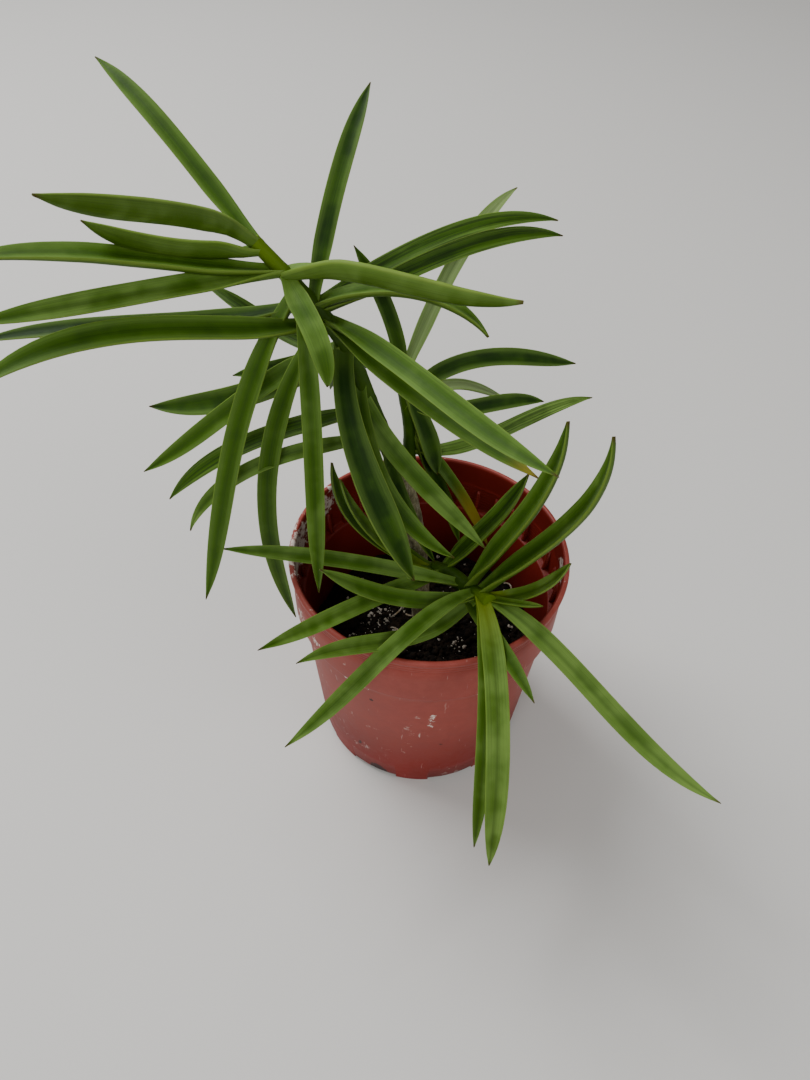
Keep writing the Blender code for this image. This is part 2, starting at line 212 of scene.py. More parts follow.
def make_deposit_group():
    """Dry crusts of dust or lime: islands with broken edges, gathered where Amount is high."""
    sockets = [("Vector", "NodeSocketVector", None), ("Scale", "NodeSocketFloat", 100.0)]
    sockets += [("Amount", "NodeSocketFloat", 0.3)]
    group, given, result = start_group("deposit", sockets, ("Crust",))
    islands = fine_noise(group, given["Vector"], given["Scale"], 6.0, 0.7)
    level = maths(group, "MULTIPLY_ADD", given["Amount"], -0.36, 0.68)
    top = maths(group, "ADD", level, 0.07)
    group.links.new(window(group, islands, level, top), result["Crust"])
    return group


MOTTLE = make_mottle_group()
STREAKS = make_streak_group()
DEPOSIT = make_deposit_group()


def use_group(tree, group, inputs):
    node = place(tree, "ShaderNodeGroup", node_tree=group)
    for socket, value in inputs.items():
        if isinstance(value, bpy.types.NodeSocket):
            tree.links.new(value, node.inputs[socket])
        else:
            node.inputs[socket].default_value = value
    return node.outputs


print("shared groups:", MOTTLE.name, STREAKS.name, DEPOSIT.name)

# %% [markdown]
# ## How a leaf is coloured
# Each leaf is a fleshy blade with a shallow channel. Its middle is a darker window, its flanks are lighter and
# a thin pale line, a painted highlight, runs along each margin. Older leaves carry dark lines, and young ones are
# yellow at the root.
# The mesh carries these facts as attributes: how far along and across a point lies, whether it is on the upper
# face, and the leaf's tone, lining, youth and dryness. A dark tone is partly the leaf's deep green and partly
# painted shade, for leaves that lie behind and under others. One material then serves every leaf of a shoot.

# %% The leaf material
LEAF_DEEP = colour(30, 54, 10)
LEAF_MIDDLE = colour(62, 92, 22)
LEAF_LIGHT = colour(106, 136, 62)
LEAF_WINDOW = colour(34, 58, 6)
# Pale green of the painted highlight along the leaf margins.
LEAF_EDGE_HIGHLIGHT = colour(128, 150, 62)
LEAF_UNDER = colour(64, 84, 22)
LEAF_LINE = colour(16, 30, 4)
LEAF_YOUNG = colour(150, 162, 4)
LEAF_STRAW = colour(124, 112, 34)
LEAF_TIP = colour(70, 44, 26)
LEAF_PALE = colour(136, 150, 108)


def make_leaf_material(name):
    material, tree, shader = new_material(name)
    along = attribute(tree, "along")
    across = attribute(tree, "across")
    upper = attribute(tree, "upper")
    tone = attribute(tree, "tone")
    seed = attribute(tree, "leaf_seed")
    here = place(tree, "ShaderNodeTexCoord").outputs["Object"]
    mottle = use_group(tree, MOTTLE, {"Vector": here, "Scale": 110.0})
    lines = use_group(tree, STREAKS, {"Across": across, "Along": maths(tree, "MULTIPLY", along, 2.2),
                                      "Seed": seed, "Count": 7.0, "Share": 0.55})
    hairlines = use_group(tree, STREAKS, {"Across": across, "Along": maths(tree, "MULTIPLY", along, 1.4),
                                          "Seed": maths(tree, "ADD", seed, 40.0), "Count": 22.0, "Share": 0.5})
    side = maths(tree, "ABSOLUTE", across)
    # Tone runs from deep to light green. A low tone is partly painted shade, given to leaves that lie behind and under
    # others.
    shifted = maths(tree, "ADD", tone, maths(tree, "MULTIPLY_ADD", mottle["Patches"], 0.3, -0.15))
    base = blend(tree, window(tree, shifted, 0.0, 0.5), LEAF_DEEP, LEAF_MIDDLE)
    base = blend(tree, window(tree, shifted, 0.5, 1.0), base, LEAF_LIGHT)
    base = blend(tree, window(tree, tone, 1.05, 1.35), base, LEAF_PALE)
    flank = maths(tree, "MULTIPLY", window(tree, side, 0.3, 0.85), 0.42)
    base = blend(tree, flank, base, LEAF_LIGHT)
    edge = maths(tree, "MULTIPLY_ADD", hairlines["Relief"], 0.14, side)
    channel = maths(tree, "MULTIPLY", window(tree, edge, 0.06, 0.5, 1.0, 0.0), upper)
    channel = maths(tree, "MULTIPLY", channel, attribute(tree, "channel"))
    base = blend(tree, channel, base, LEAF_WINDOW)
    lower = maths(tree, "SUBTRACT", 1.0, upper)
    base = blend(tree, maths(tree, "MULTIPLY", lower, 0.4), base, LEAF_UNDER)
    base = blend(tree, maths(tree, "MULTIPLY", lines["Lines"], attribute(tree, "lined")), base, LEAF_LINE)
    base = blend(tree, maths(tree, "MULTIPLY", hairlines["Lines"], 0.22), base, LEAF_LINE)
    # Painted highlight: a thin pale line along each margin of the leaf.
    base = blend(tree, maths(tree, "MULTIPLY", window(tree, side, 0.9, 0.99), 0.4), base, LEAF_EDGE_HIGHLIGHT)
    from_root = window(tree, along, 0.0, 0.16, 0.3, 0.0)
    base = blend(tree, from_root, base, LEAF_LIGHT)
    young_root = maths(tree, "MULTIPLY", attribute(tree, "young"), window(tree, along, 0.0, 0.32, 1.0, 0.05))
    base = blend(tree, young_root, base, LEAF_YOUNG)
    dry = attribute(tree, "dry")
    dry_from = maths(tree, "MULTIPLY_ADD", dry, -0.75, 1.0)
    dry_to = maths(tree, "ADD", dry_from, maths(tree, "MULTIPLY_ADD", dry, 0.3, 0.1))
    base = blend(tree, window(tree, along, dry_from, dry_to), base, LEAF_STRAW)
    point = maths(tree, "MULTIPLY", window(tree, along, 0.965, 1.0), 0.75)
    base = blend(tree, point, base, LEAF_TIP)
    roughness = maths(tree, "MULTIPLY_ADD", mottle["Grain"], 0.2, 0.46)
    height = maths(tree, "ADD", maths(tree, "MULTIPLY", hairlines["Relief"], 0.7), mottle["Grain"])
    finish_shader(tree, shader, base, roughness, height, 0.35, 0.0002)
    shader.inputs["Specular IOR Level"].default_value = 0.12
    shader.inputs["Subsurface Weight"].default_value = 0.1
    shader.inputs["Subsurface Radius"].default_value = (0.6, 1.0, 0.2)
    shader.inputs["Subsurface Scale"].default_value = 0.0012
    return material


LEAF_FLESH = make_leaf_material("leaf_flesh")

# %% [markdown]
# ## Where the leaves grow
# No rule of the real plant could give these leaves: each one was read off the photograph. A row says how far
# up its stem the leaf is rooted, its bearing, how much the bearing turns on the way, its rise at the root, the
# middle and the tip, its length, its width, how far its face is rolled to the side, and its looks. The words for
# looks are kept in one small table.

# %% Looks of the leaves
# Tone from dark to light, dark lines, youth, dryness, strength of the dark channel.
LOOKS = {
    # The dark look is partly the leaf's own deep green and partly painted shade, for leaves behind and under others.
    "dark": (0.14, 0.15, 0.0, 0.0, 0.30),
    "broad": (0.16, 0.15, 0.0, 0.0, 0.30),
    "plain": (0.50, 0.10, 0.0, 0.0, 0.42),
    "bright": (0.68, 0.08, 0.0, 0.0, 0.40),
    "light": (0.86, 0.06, 0.0, 0.0, 0.42),
    "smooth": (0.66, 0.00, 0.0, 0.0, 0.10),
    "pale": (1.18, 0.20, 0.0, 0.0, 0.25),
    "striped": (0.80, 0.60, 0.0, 0.0, 0.30),
    "lined": (0.46, 0.60, 0.0, 0.0, 0.36),
    "young": (0.76, 0.00, 0.6, 0.0, 0.50),
    "fresh": (0.70, 0.05, 0.4, 0.0, 0.42),
    "torn": (0.55, 0.08, 0.0, 0.2, 0.40),
    "drying": (0.45, 0.30, 0.0, 0.8, 0.30),
}

# %% Rows of the tall shoot
TALL_PATH = ((-11.2, 8, 112.4), (-18.5, 8, 134), (-26, 8, 156), (-37, 8, 172), (-47.5, 8, 185))
TALL_LEAVES = {
    "back_left_up": (80, 138, 0, 27, 28, 12, 66, 5.0, -20, "plain"),
    "front_left_up": (82, -115, 0, 43, 28, 33, 71, 5.6, 60, "smooth"),
    "short_left": (79, -150, 0, 10, 20, 44, 44, 5.0, 80, "smooth"),
    "left_level": (72, -150, 0, 14, 20, 2, 74, 6.0, -10, "plain"),
    "left_low": (72, -143, 0, 10, 8, 8, 74, 5.6, -30, "bright"),
    "left_behind": (61, -172, 0, -15, -1, -13, 86, 5.0, -20, "dark"),
    "left_droop": (54, -145, 0, 6, 17, -28, 90, 6.4, -28, "plain"),
    "striped_behind": (45, 150, 0, -34, 12, 4, 50, 4.4, -40, "lined"),
    "hanging_left": (66, -140, 0, -44, -71, -69, 104, 6.0, -40, "plain"),
    "hanging_curl": (55, -150, 0, -49, -85, -101, 122, 5.8, -60, "plain"),
    "hanging_front": (66, -76, -20, -30, -74, -84, 92, 5.2, -10, "plain"),
    "front_curl": (71, -62, 0, -30, -20, -105, 34, 5.8, 20, "smooth"),
    "right_arching": (71, -20, 0, 28, -1, 18, 62, 7.2, -55, "smooth"),
    "right_level": (60, 0, 0, 30, -8, -56, 51, 5.6, 0, "bright"),
    "right_front": (55, -50, 0, 15, 0, 12, 84, 5.4, 30, "plain"),
    "right_front_low": (55, -45, 0, -14, -3, 2, 74, 5.4, 20, "torn"),
    "front_droop": (46, -33, 0, -88, -38, -32, 73, 6.0, 25, "bright"),
    "upright": (60, 70, 0, 66, 48, 30, 57, 5.0, 10, "dark"),
    "broad_hanging": (46, -93, 76, -32, -50, -68, 71, 9.0, 10, "broad"),
    "broad_twin": (35, -90, 80, -60, -42, -25, 61, 6.0, 10, "plain"),
    "back_right_high": (60, 20, 0, 24, 16, -19, 70, 4.4, 40, "lined"),
    "back_right_low": (58, 25, 0, 11, 11, -21, 73, 5.0, 45, "lined"),
    "lower_left_dark": (46, 170, 0, -46, -28, -8, 71, 7.2, -50, "dark"),
    "lower_left_hooked": (46, -170, 0, -18, -38, -31, 72, 5.6, -48, "plain"),
    "lower_left_striped": (23, -172, 0, -8, -24, -54, 71, 5.4, -43, "lined"),
    "lower_left_pale": (12, -165, 0, 4, -19, -72, 71, 4.6, -40, "light"),
    "small_behind": (46, 170, 0, -36, -24, -22, 37, 3.8, -50, "dark"),
    "small_hanging": (12, -60, 0, -60, -70, -80, 24, 4.0, 0, "dark"),
    "dark_hanging": (10, -70, 75, -58, -62, -66, 45, 4.2, 20, "dark"),
}

# %% Rows of the middle shoot
MIDDLE_PATH = ((-7.6, 13.1, 111.6), (-8, 14, 124), (-10.5, 15, 138), (-11.5, 15, 146))
MIDDLE_LEAVES = {
    "long_pale": (28, 50, 0, 56, 46, 4, 65, 4.6, 20, "pale"),
    "dark_right": (19, 15, 0, 72, 0, -14, 58, 5.2, 40, "dark"),
    "pale_right": (19, 40, 0, 26, -28, -34, 46, 3.8, 30, "pale"),
    "striped_right": (4, 20, 0, -34, 18, -7, 63, 4.8, 30, "striped"),
    "short_right": (19, 20, 0, -36, 0, -26, 47, 5.0, 45, "dark"),
    "dark_up": (28, 160, 0, 90, 69, 54, 42, 4.4, -50, "dark"),
    "front_hanging": (28, 10, 0, -62, -73, -84, 40, 5.0, 60, "dark"),
    "front_inner": (28, 0, 0, -68, -75, -82, 38, 4.4, 50, "dark"),
    "drying": (11, 10, 0, -55, -62, -70, 63, 4.0, 50, "drying"),
    "broad_dark": (28, -10, 0, -62, -70, -78, 36, 6.8, 40, "broad"),
    "low_hanging": (11, 8, 0, -64, -70, -76, 55, 4.8, 50, "dark"),
    "hidden_back": (24, 85, 0, -20, -40, -60, 62, 5.6, 0, "dark"),
    "hidden_back_left": (30, 120, 0, -15, -38, -60, 66, 5.6, 0, "plain"),
}

# %% Rows of the low shoot
LOW_PATH = ((2.3, 1.6, 72.6), (7.0, -4.8, 78.0), (13.0, -13.4, 81.5), (18.4, -22.5, 87.0))
LOW_LEAVES = {
    "right_up": (19, -20, 0, 74, 70, 94, 77, 7.0, 30, "plain"),
    "far_right_up": (25, -15, 0, 64, 62, 101, 78, 6.8, 16, "plain"),
    "striped_up": (4, -5, 0, 64, 61, 77, 52, 6.2, 25, "lined"),
    "young_right": (27, -20, 0, 14, 49, 74, 37, 4.6, 20, "young"),
    "bud": (27, -40, 0, 26, 32, 38, 25, 2.8, 0, "young"),
    "long_right": (27, -46, 0, 27, -16, 22, 90, 6.0, 25, "light"),
    "front_down": (27, -83, -10, 24, -27, -78, 89, 6.6, 0, "fresh"),
    "front_down_twin": (26, -87, -8, 24, -27, -78, 84, 4.6, 0, "fresh"),
    "front_left": (26, -143, 0, -38, 28, 6, 69, 5.4, -25, "bright"),
    "front_left_low": (24, -134, 0, 38, -12, 3, 78, 5.4, -15, "bright"),
    "left_low": (7, -135, 0, 30, 17, 20, 77, 5.4, -25, "bright"),
    "left_level": (17, -178, 0, 20, 12, 3, 76, 5.0, -30, "bright"),
    "left_rising": (26, -163, 0, -4, 31, 48, 57, 5.4, -30, "bright"),
    "front_right_low": (15, -73, 8, 8, 14, -8, 54, 4.8, 10, "plain"),
    "left_upright": (1, -160, 0, 46, 55, 92, 68, 5.8, -40, "plain"),
    "left_upright_inner": (1, -150, 0, 44, 58, 79, 66, 4.2, -40, "fresh"),
}

# %% [markdown]
# ## From a row to a path
# Two things are needed along each leaf: its middle line, and which way its side and its face point there. They
# are points and edges with attributes, the plainest mesh that there is. A Geometry Nodes tree then grows the
# flesh round them, so one tree makes every leaf, and a change to the blade's form changes all of them.

# %% Paths of stems and leaves
LEAF_STEPS = 34
STEM_STEP = 4.0
TIP_STRETCH = 0.5
TIP_CURVE = 3.5
ROOT_STRETCH = 0.3
BROAD_STRETCH = 0.75
ROOT_WIDTH = 0.6
BLADE_THICKNESS = 0.48
TIP_THINNING = 0.75
TIP_HALF_WIDTH = 0.12


def heading(bearing, rise):
    flat = math.cos(rise)
    return Vector((flat * math.cos(bearing), flat * math.sin(bearing), math.sin(rise)))


def smooth_points(corners, step):
    """Points about a step apart on a Catmull-Rom curve through the corners."""
    knots = [Vector(corner) for corner in corners]
    knots = [2 * knots[0] - knots[1]] + knots + [2 * knots[-1] - knots[-2]]
    points = []
    for index in range(1, len(knots) - 2):
        before, start, end, after = knots[index - 1:index + 3]
        count = max(2, round((end - start).length / step))
        for part in range(count):
            t = part / count
            bend = 2 * before - 5 * start + 4 * end - after
            twist = 3 * start - before - 3 * end + after
            points.append(0.5 * (2 * start + t * (end - before) + t * t * bend + t ** 3 * twist))
    points.append(knots[-2])
    return points


def point_along(points, distance):
    for start, end in zip(points, points[1:]):
        span = (end - start).length
        if distance <= span:
            return start.lerp(end, distance / span)
        distance -= span
    return points[-1]


def rise_at(leaf, t):
    """Rise of a leaf, part t of the way along it: a parabola through its three rises."""
    first, middle, last = leaf[3:6]
    return math.radians(first * (1 - t) * (1 - 2 * t) + middle * 4 * t * (1 - t) + last * t * (2 * t - 1))


def leaf_path(root, leaf):
    """For each step of one leaf: place, side, face, half width, thickness and how far along it is."""
    _, bearing, sweep, _, _, _, length, width, roll, look = leaf
    steps = []
    centre = Vector(root)
    for index in range(LEAF_STEPS):
        t = index / (LEAF_STEPS - 1)
        turn = math.radians(bearing + sweep * t)
        flat_side = Vector((-math.sin(turn), math.cos(turn), 0))
        flat_face = heading(turn, rise_at(leaf, t) + math.pi / 2)
        root_part = min(1.0, t / ROOT_STRETCH)
        root_part = root_part * root_part * (3 - 2 * root_part)
        tilt = math.radians(roll) * root_part
        if look == "broad":
            slow_part = min(1.0, t / BROAD_STRETCH)
            root_part = slow_part * slow_part * (3 - 2 * slow_part)
        side = math.cos(tilt) * flat_side + math.sin(tilt) * flat_face
        face = math.cos(tilt) * flat_face - math.sin(tilt) * flat_side
        tip_part = max(0.0, 1 - (1 - t) / TIP_STRETCH)
        spread = (ROOT_WIDTH + (1 - ROOT_WIDTH) * root_part) * (1 - tip_part ** TIP_CURVE)
        half_width = max(TIP_HALF_WIDTH, width / 2 * spread)
        depth = BLADE_THICKNESS * width * (1 - TIP_THINNING * tip_part ** 2)
        steps.append((centre.copy(), side, face, half_width, depth, t))
        middle = min(1.0, t + 0.5 / (LEAF_STEPS - 1))
        turn = math.radians(bearing + sweep * middle)
        centre = centre + length / (LEAF_STEPS - 1) * heading(turn, rise_at(leaf, middle))
    return steps


def paths_object(name, chains, columns):
    """A mesh of open chains of points. Columns are (attribute, kind, values in point order)."""
    mesh = bpy.data.meshes.new(name)
    places = []
    edges = []
    for chain in chains:
        first = len(places)
        places += [point * MM for point in chain]
        edges += [(index, index + 1) for index in range(first, len(places) - 1)]
    mesh.from_pydata(places, edges, [])
    for label, kind, values in columns:
        layer = mesh.attributes.new(label, kind, "POINT")
        if kind == "FLOAT_VECTOR":
            flat = [part for value in values for part in value]
            layer.data.foreach_set("vector", flat)
        else:
            layer.data.foreach_set("value", values)
    thing = bpy.data.objects.new(name, mesh)
    bpy.context.scene.collection.objects.link(thing)
    return thing


def shoot_paths(name, stem_path, leaves, seed):
    """All leaf paths of one shoot."""
    chance = random.Random(seed)
    stem = smooth_points(stem_path, STEM_STEP)
    chains = []
    facts = {label: [] for label in ("side", "face", "half_width", "depth", "along")}
    looks = {label: [] for label in ("tone", "lined", "young", "dry", "channel", "leaf_seed")}
    for number, leaf in enumerate(leaves.values()):
        steps = leaf_path(point_along(stem, leaf[0]), leaf)
        chains.append([step[0] for step in steps])
        for index, label in enumerate(facts):
            facts[label] += [step[index + 1] for step in steps]
        tone, *others = LOOKS[leaf[-1]]
        own = (tone + chance.uniform(-0.08, 0.08), *others, number * 1.7 + seed)
        for label, value in zip(looks, own):
            looks[label] += [value] * len(steps)
    columns = [("side", "FLOAT_VECTOR", facts["side"]), ("face", "FLOAT_VECTOR", facts["face"])]
    columns += [("half_width", "FLOAT", [value * MM for value in facts["half_width"]])]
    columns += [("depth", "FLOAT", [value * MM for value in facts["depth"]])]
    columns += [("along", "FLOAT", facts["along"])]
    columns += [(label, "FLOAT", values) for label, values in looks.items()]
    return paths_object(name, chains, columns)


# %% [markdown]
# ## A tree that grows leaves
# Curve to Mesh carries a round profile along every path. The tree then moves each point to where the leaf's own
# formula wants it: across by the half width, and up or down by the section. Above, the section is a channel
# between raised margins, and below it is a keel. Writing the section as a formula keeps it smooth, and each
# point remembers where it is across the leaf, which the material needs for its bands.

# %% The leaf tree


def start_geometry(name, inputs):
    """A Geometry Nodes tree with a geometry input, more named inputs, and a geometry output."""
    tree = bpy.data.node_groups.new(name, "GeometryNodeTree")
    tree.interface.new_socket("Geometry", in_out="INPUT", socket_type="NodeSocketGeometry")
    for label, kind, value in inputs:
        socket = tree.interface.new_socket(label, in_out="INPUT", socket_type=kind)
        if value is not None:
            socket.default_value = value
    tree.interface.new_socket("Geometry", in_out="OUTPUT", socket_type="NodeSocketGeometry")
    entry = tree.nodes.new("NodeGroupInput")
    leave = tree.nodes.new("NodeGroupOutput")
    return tree, entry.outputs, leave.inputs


def field(tree, name, kind="FLOAT"):
    """A named attribute of the geometry as a field."""
    return place(tree, "GeometryNodeInputNamedAttribute", {"Name": name}, data_type=kind).outputs[0]


def vector_maths(tree, operation, first, second=None, scale=None):
    node = place(tree, "ShaderNodeVectorMath", {0: first}, operation=operation)
    if isinstance(second, bpy.types.NodeSocket):
        tree.links.new(second, node.inputs[1])
    if isinstance(scale, bpy.types.NodeSocket):
        tree.links.new(scale, node.inputs["Scale"])
    elif scale is not None:
        node.inputs["Scale"].default_value = scale
    return node.outputs[0]


def keep(tree, geometry, name, value, kind="FLOAT"):
    """Store a named attribute on the points."""
    inputs = {"Geometry": geometry, "Name": name, "Value": value}
    node = place(tree, "GeometryNodeStoreNamedAttribute", inputs, data_type=kind, domain="POINT")
    return node.outputs["Geometry"]


def end_geometry(tree, geometry, material, result):
    """Shade smooth, realize and set the material: the last steps of every tree."""
    smooth = place(tree, "GeometryNodeSetShadeSmooth", {"Geometry": geometry}).outputs[0]
    real = place(tree, "GeometryNodeRealizeInstances", {"Geometry": smooth}).outputs[0]
    done = place(tree, "GeometryNodeSetMaterial", {"Geometry": real, "Material": material}).outputs[0]
    tree.links.new(done, result["Geometry"])


def make_leaf_tree():
    inputs = [("Points Across", "NodeSocketInt", 20), ("Margin Height", "NodeSocketFloat", 0.34)]
    inputs += [("Flesh Above", "NodeSocketFloat", 0.10), ("Flesh Below", "NodeSocketFloat", 0.70)]
    inputs += [("Waviness", "NodeSocketFloat", 0.00025), ("Flesh", "NodeSocketMaterial", None)]
    tree, given, result = start_geometry("fleshy_leaves", inputs)
    curve = place(tree, "GeometryNodeMeshToCurve", {"Mesh": given["Geometry"]}).outputs[0]
    curve = keep(tree, curve, "path_place", place(tree, "GeometryNodeInputPosition").outputs[0], "FLOAT_VECTOR")
    ring = place(tree, "GeometryNodeCurvePrimitiveCircle", {"Resolution": given["Points Across"], "Radius": 1.0})
    around = place(tree, "ShaderNodeSeparateXYZ", {0: place(tree, "GeometryNodeInputPosition").outputs[0]})
    ring = keep(tree, ring.outputs[0], "across", around.outputs["X"])
    ring = keep(tree, ring, "around", around.outputs["Y"])
    inputs = {"Curve": curve, "Profile Curve": ring, "Fill Caps": True}
    mesh = place(tree, "GeometryNodeCurveToMesh", inputs).outputs[0]
    across = field(tree, "across")
    around = field(tree, "around")
    side_part = maths(tree, "ABSOLUTE", across)
    is_upper = maths(tree, "GREATER_THAN", around, 0.0)
    upper_flesh = maths(tree, "MULTIPLY", is_upper, given["Flesh Above"])
    below = maths(tree, "MULTIPLY", maths(tree, "SUBTRACT", 1.0, is_upper), given["Flesh Below"])
    flesh = maths(tree, "ADD", upper_flesh, below)
    bulge = maths(tree, "POWER", maths(tree, "ABSOLUTE", around), 0.85)
    bulge = maths(tree, "MULTIPLY", maths(tree, "MULTIPLY", bulge, flesh), maths(tree, "SIGN", around))
    margin = maths(tree, "MULTIPLY", maths(tree, "POWER", side_part, 1.7), given["Margin Height"])
    up = maths(tree, "MULTIPLY", maths(tree, "ADD", bulge, margin), field(tree, "depth"))
    sideways = vector_maths(tree, "SCALE", field(tree, "side", "FLOAT_VECTOR"),
                            scale=maths(tree, "MULTIPLY", across, field(tree, "half_width")))
    upwards = vector_maths(tree, "SCALE", field(tree, "face", "FLOAT_VECTOR"), scale=up)
    centre = field(tree, "path_place", "FLOAT_VECTOR")
    where = vector_maths(tree, "ADD", vector_maths(tree, "ADD", centre, sideways), upwards)
    ripple = place(tree, "ShaderNodeTexNoise", {"Vector": centre, "Scale": 90.0, "Detail": 1.0}).outputs[0]
    ripple = maths(tree, "MULTIPLY", maths(tree, "SUBTRACT", ripple, 0.5), given["Waviness"])
    wave = vector_maths(tree, "SCALE", field(tree, "face", "FLOAT_VECTOR"), scale=ripple)
    where = vector_maths(tree, "ADD", where, wave)
    mesh = place(tree, "GeometryNodeSetPosition", {"Geometry": mesh, "Position": where}).outputs[0]
    mesh = keep(tree, mesh, "upper", window(tree, around, -0.15, 0.15))
    end_geometry(tree, mesh, given["Flesh"], result)
    return tree


def set_input(modifier, tree, label, value):
    """Set a modifier's input by the identifier of its socket."""
    for item in tree.interface.items_tree:
        if item.item_type == "SOCKET" and item.in_out == "INPUT" and item.name == label:
            modifier[item.identifier] = value


def grow(thing, tree, name, values):
    """Run a Geometry Nodes tree on an object and keep its result as a plain mesh in a new object."""
    modifier = thing.modifiers.new("Grow", "NODES")
    modifier.node_group = tree
    for label, value in values.items():
        set_input(modifier, tree, label, value)
    bpy.context.view_layer.update()
    evaluated = thing.evaluated_get(bpy.context.evaluated_depsgraph_get())
    mesh = bpy.data.meshes.new_from_object(evaluated)
    mesh.name = name
    thing.modifiers.clear()
    bpy.data.objects.remove(thing)
    piece = bpy.data.objects.new(name, mesh)
    bpy.context.scene.collection.objects.link(piece)
    print(name, "has", len(mesh.polygons), "faces")
    return piece


def face_outwards(piece):
    """Turn all faces of closed bodies outwards."""
    mesh_data = bmesh.new()
    mesh_data.from_mesh(piece.data)
    bmesh.ops.recalc_face_normals(mesh_data, faces=mesh_data.faces)
    mesh_data.to_mesh(piece.data)
    mesh_data.free()


LEAF_TREE = make_leaf_tree()
SHOOTS = {
    "tall": (TALL_PATH, TALL_LEAVES, 3),
    "middle": (MIDDLE_PATH, MIDDLE_LEAVES, 5),
    "low": (LOW_PATH, LOW_LEAVES, 8),
}


def make_leaves(shoot):
    stem_path, leaves, seed = SHOOTS[shoot]
    paths = shoot_paths(shoot + "_leaf_paths", stem_path, leaves, seed)
    piece = grow(paths, LEAF_TREE, shoot + "_leaves", {"Flesh": LEAF_FLESH})
    face_outwards(piece)
    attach(piece, "root")
    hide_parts(shoot + "_shoot")
    return piece


for shoot in SHOOTS:
    make_leaves(shoot)

# %% [markdown]
# ## Stems
# The old stem is bark: grey-tan, finely speckled, and ringed where leaves have dropped. Each shoot's own stem is
# smooth green flesh. Both are tubes whose thickness changes along the way, so one tree serves them, and a noise
# along the normal makes the bark lumpy. The rings are swellings in the thickness, worked out by a wave.

# %% Stem materials
BARK_DARK = colour(92, 84, 58)
BARK_TAN = colour(158, 150, 116)
BARK_PALE = colour(206, 200, 176)
STEM_GREEN = colour(44, 68, 4)
STEM_PALE = colour(66, 92, 16)
STEM_YOUNG = colour(96, 122, 8)


def make_bark_material():
    material, tree, shader = new_material("speckled_bark")
    here = place(tree, "ShaderNodeTexCoord").outputs["Object"]
    mottle = use_group(tree, MOTTLE, {"Vector": here, "Scale": 260.0})
    crust = use_group(tree, DEPOSIT, {"Vector": here, "Scale": 900.0, "Amount": 0.6})
    squeezed = place(tree, "ShaderNodeMapping", {"Vector": here, "Scale": (1.0, 1.0, 0.22)}).outputs[0]
    grooves = fine_noise(tree, squeezed, 1100.0, 4.0, 0.7)
    base = blend(tree, mottle["Patches"], BARK_DARK, BARK_TAN)
    base = blend(tree, maths(tree, "MULTIPLY", window(tree, grooves, 0.5, 0.7), 0.7), base, BARK_PALE)
    base = blend(tree, maths(tree, "MULTIPLY", crust["Crust"], 0.5), base, BARK_DARK)
    height = maths(tree, "ADD", grooves, mottle["Grain"])
    roughness = maths(tree, "MULTIPLY_ADD", mottle["Grain"], 0.15, 0.75)
    finish_shader(tree, shader, base, roughness, height, 0.8, 0.0004)
    return material


def make_green_stem_material():
    material, tree, shader = new_material("green_stem")
    here = place(tree, "ShaderNodeTexCoord").outputs["Object"]
    along = attribute(tree, "along")
    mottle = use_group(tree, MOTTLE, {"Vector": here, "Scale": 180.0})
    base = blend(tree, maths(tree, "MULTIPLY", mottle["Patches"], 0.45), STEM_GREEN, STEM_PALE)
    base = blend(tree, window(tree, along, 0.72, 1.0, 0.0, 0.7), base, STEM_YOUNG)
    roughness = maths(tree, "MULTIPLY_ADD", mottle["Grain"], 0.2, 0.4)
    finish_shader(tree, shader, base, roughness, mottle["Grain"], 0.3, 0.0003)
    shader.inputs["Specular IOR Level"].default_value = 0.15
    return material


SPECKLED_BARK = make_bark_material()
GREEN_STEM = make_green_stem_material()

# %% The stem tree and its pieces
WOODY_PATH = ((0, 4, 22), (-1, 5, 40), (-2, 6, 58), (-4, 8, 80), (-7, 8, 98), (-11, 8, 112))
FORK_PATH = ((-7.5, 8.5, 99.0), (-7.5, 12.3, 105.5), (-7.6, 13.0, 111.0))
KNUCKLE_PATH = ((-2.6, 6.5, 66.0), (-0.6, 4.5, 69.3), (1.8, 2.1, 71.8))
STEM_PIECES = {
    "bark_stem": ("woody_stem", WOODY_PATH, (3.55, 2.95), 0.16, 6.5, True),
    "fork_stem": ("woody_stem", FORK_PATH, (2.15, 2.15), 0.05, 4.0, True),
    "knuckle_stem": ("woody_stem", KNUCKLE_PATH, (2.75, 3.15), 0.05, 4.0, True),
    "tall_stem": ("tall_shoot", TALL_PATH, (2.85, 1.9), 0.10, 9.0, False),
    "middle_stem": ("middle_shoot", MIDDLE_PATH, (2.15, 1.5), 0.08, 7.0, False),
    "low_stem": ("low_shoot", LOW_PATH, (3.35, 2.4), 0.10, 7.0, False),
}


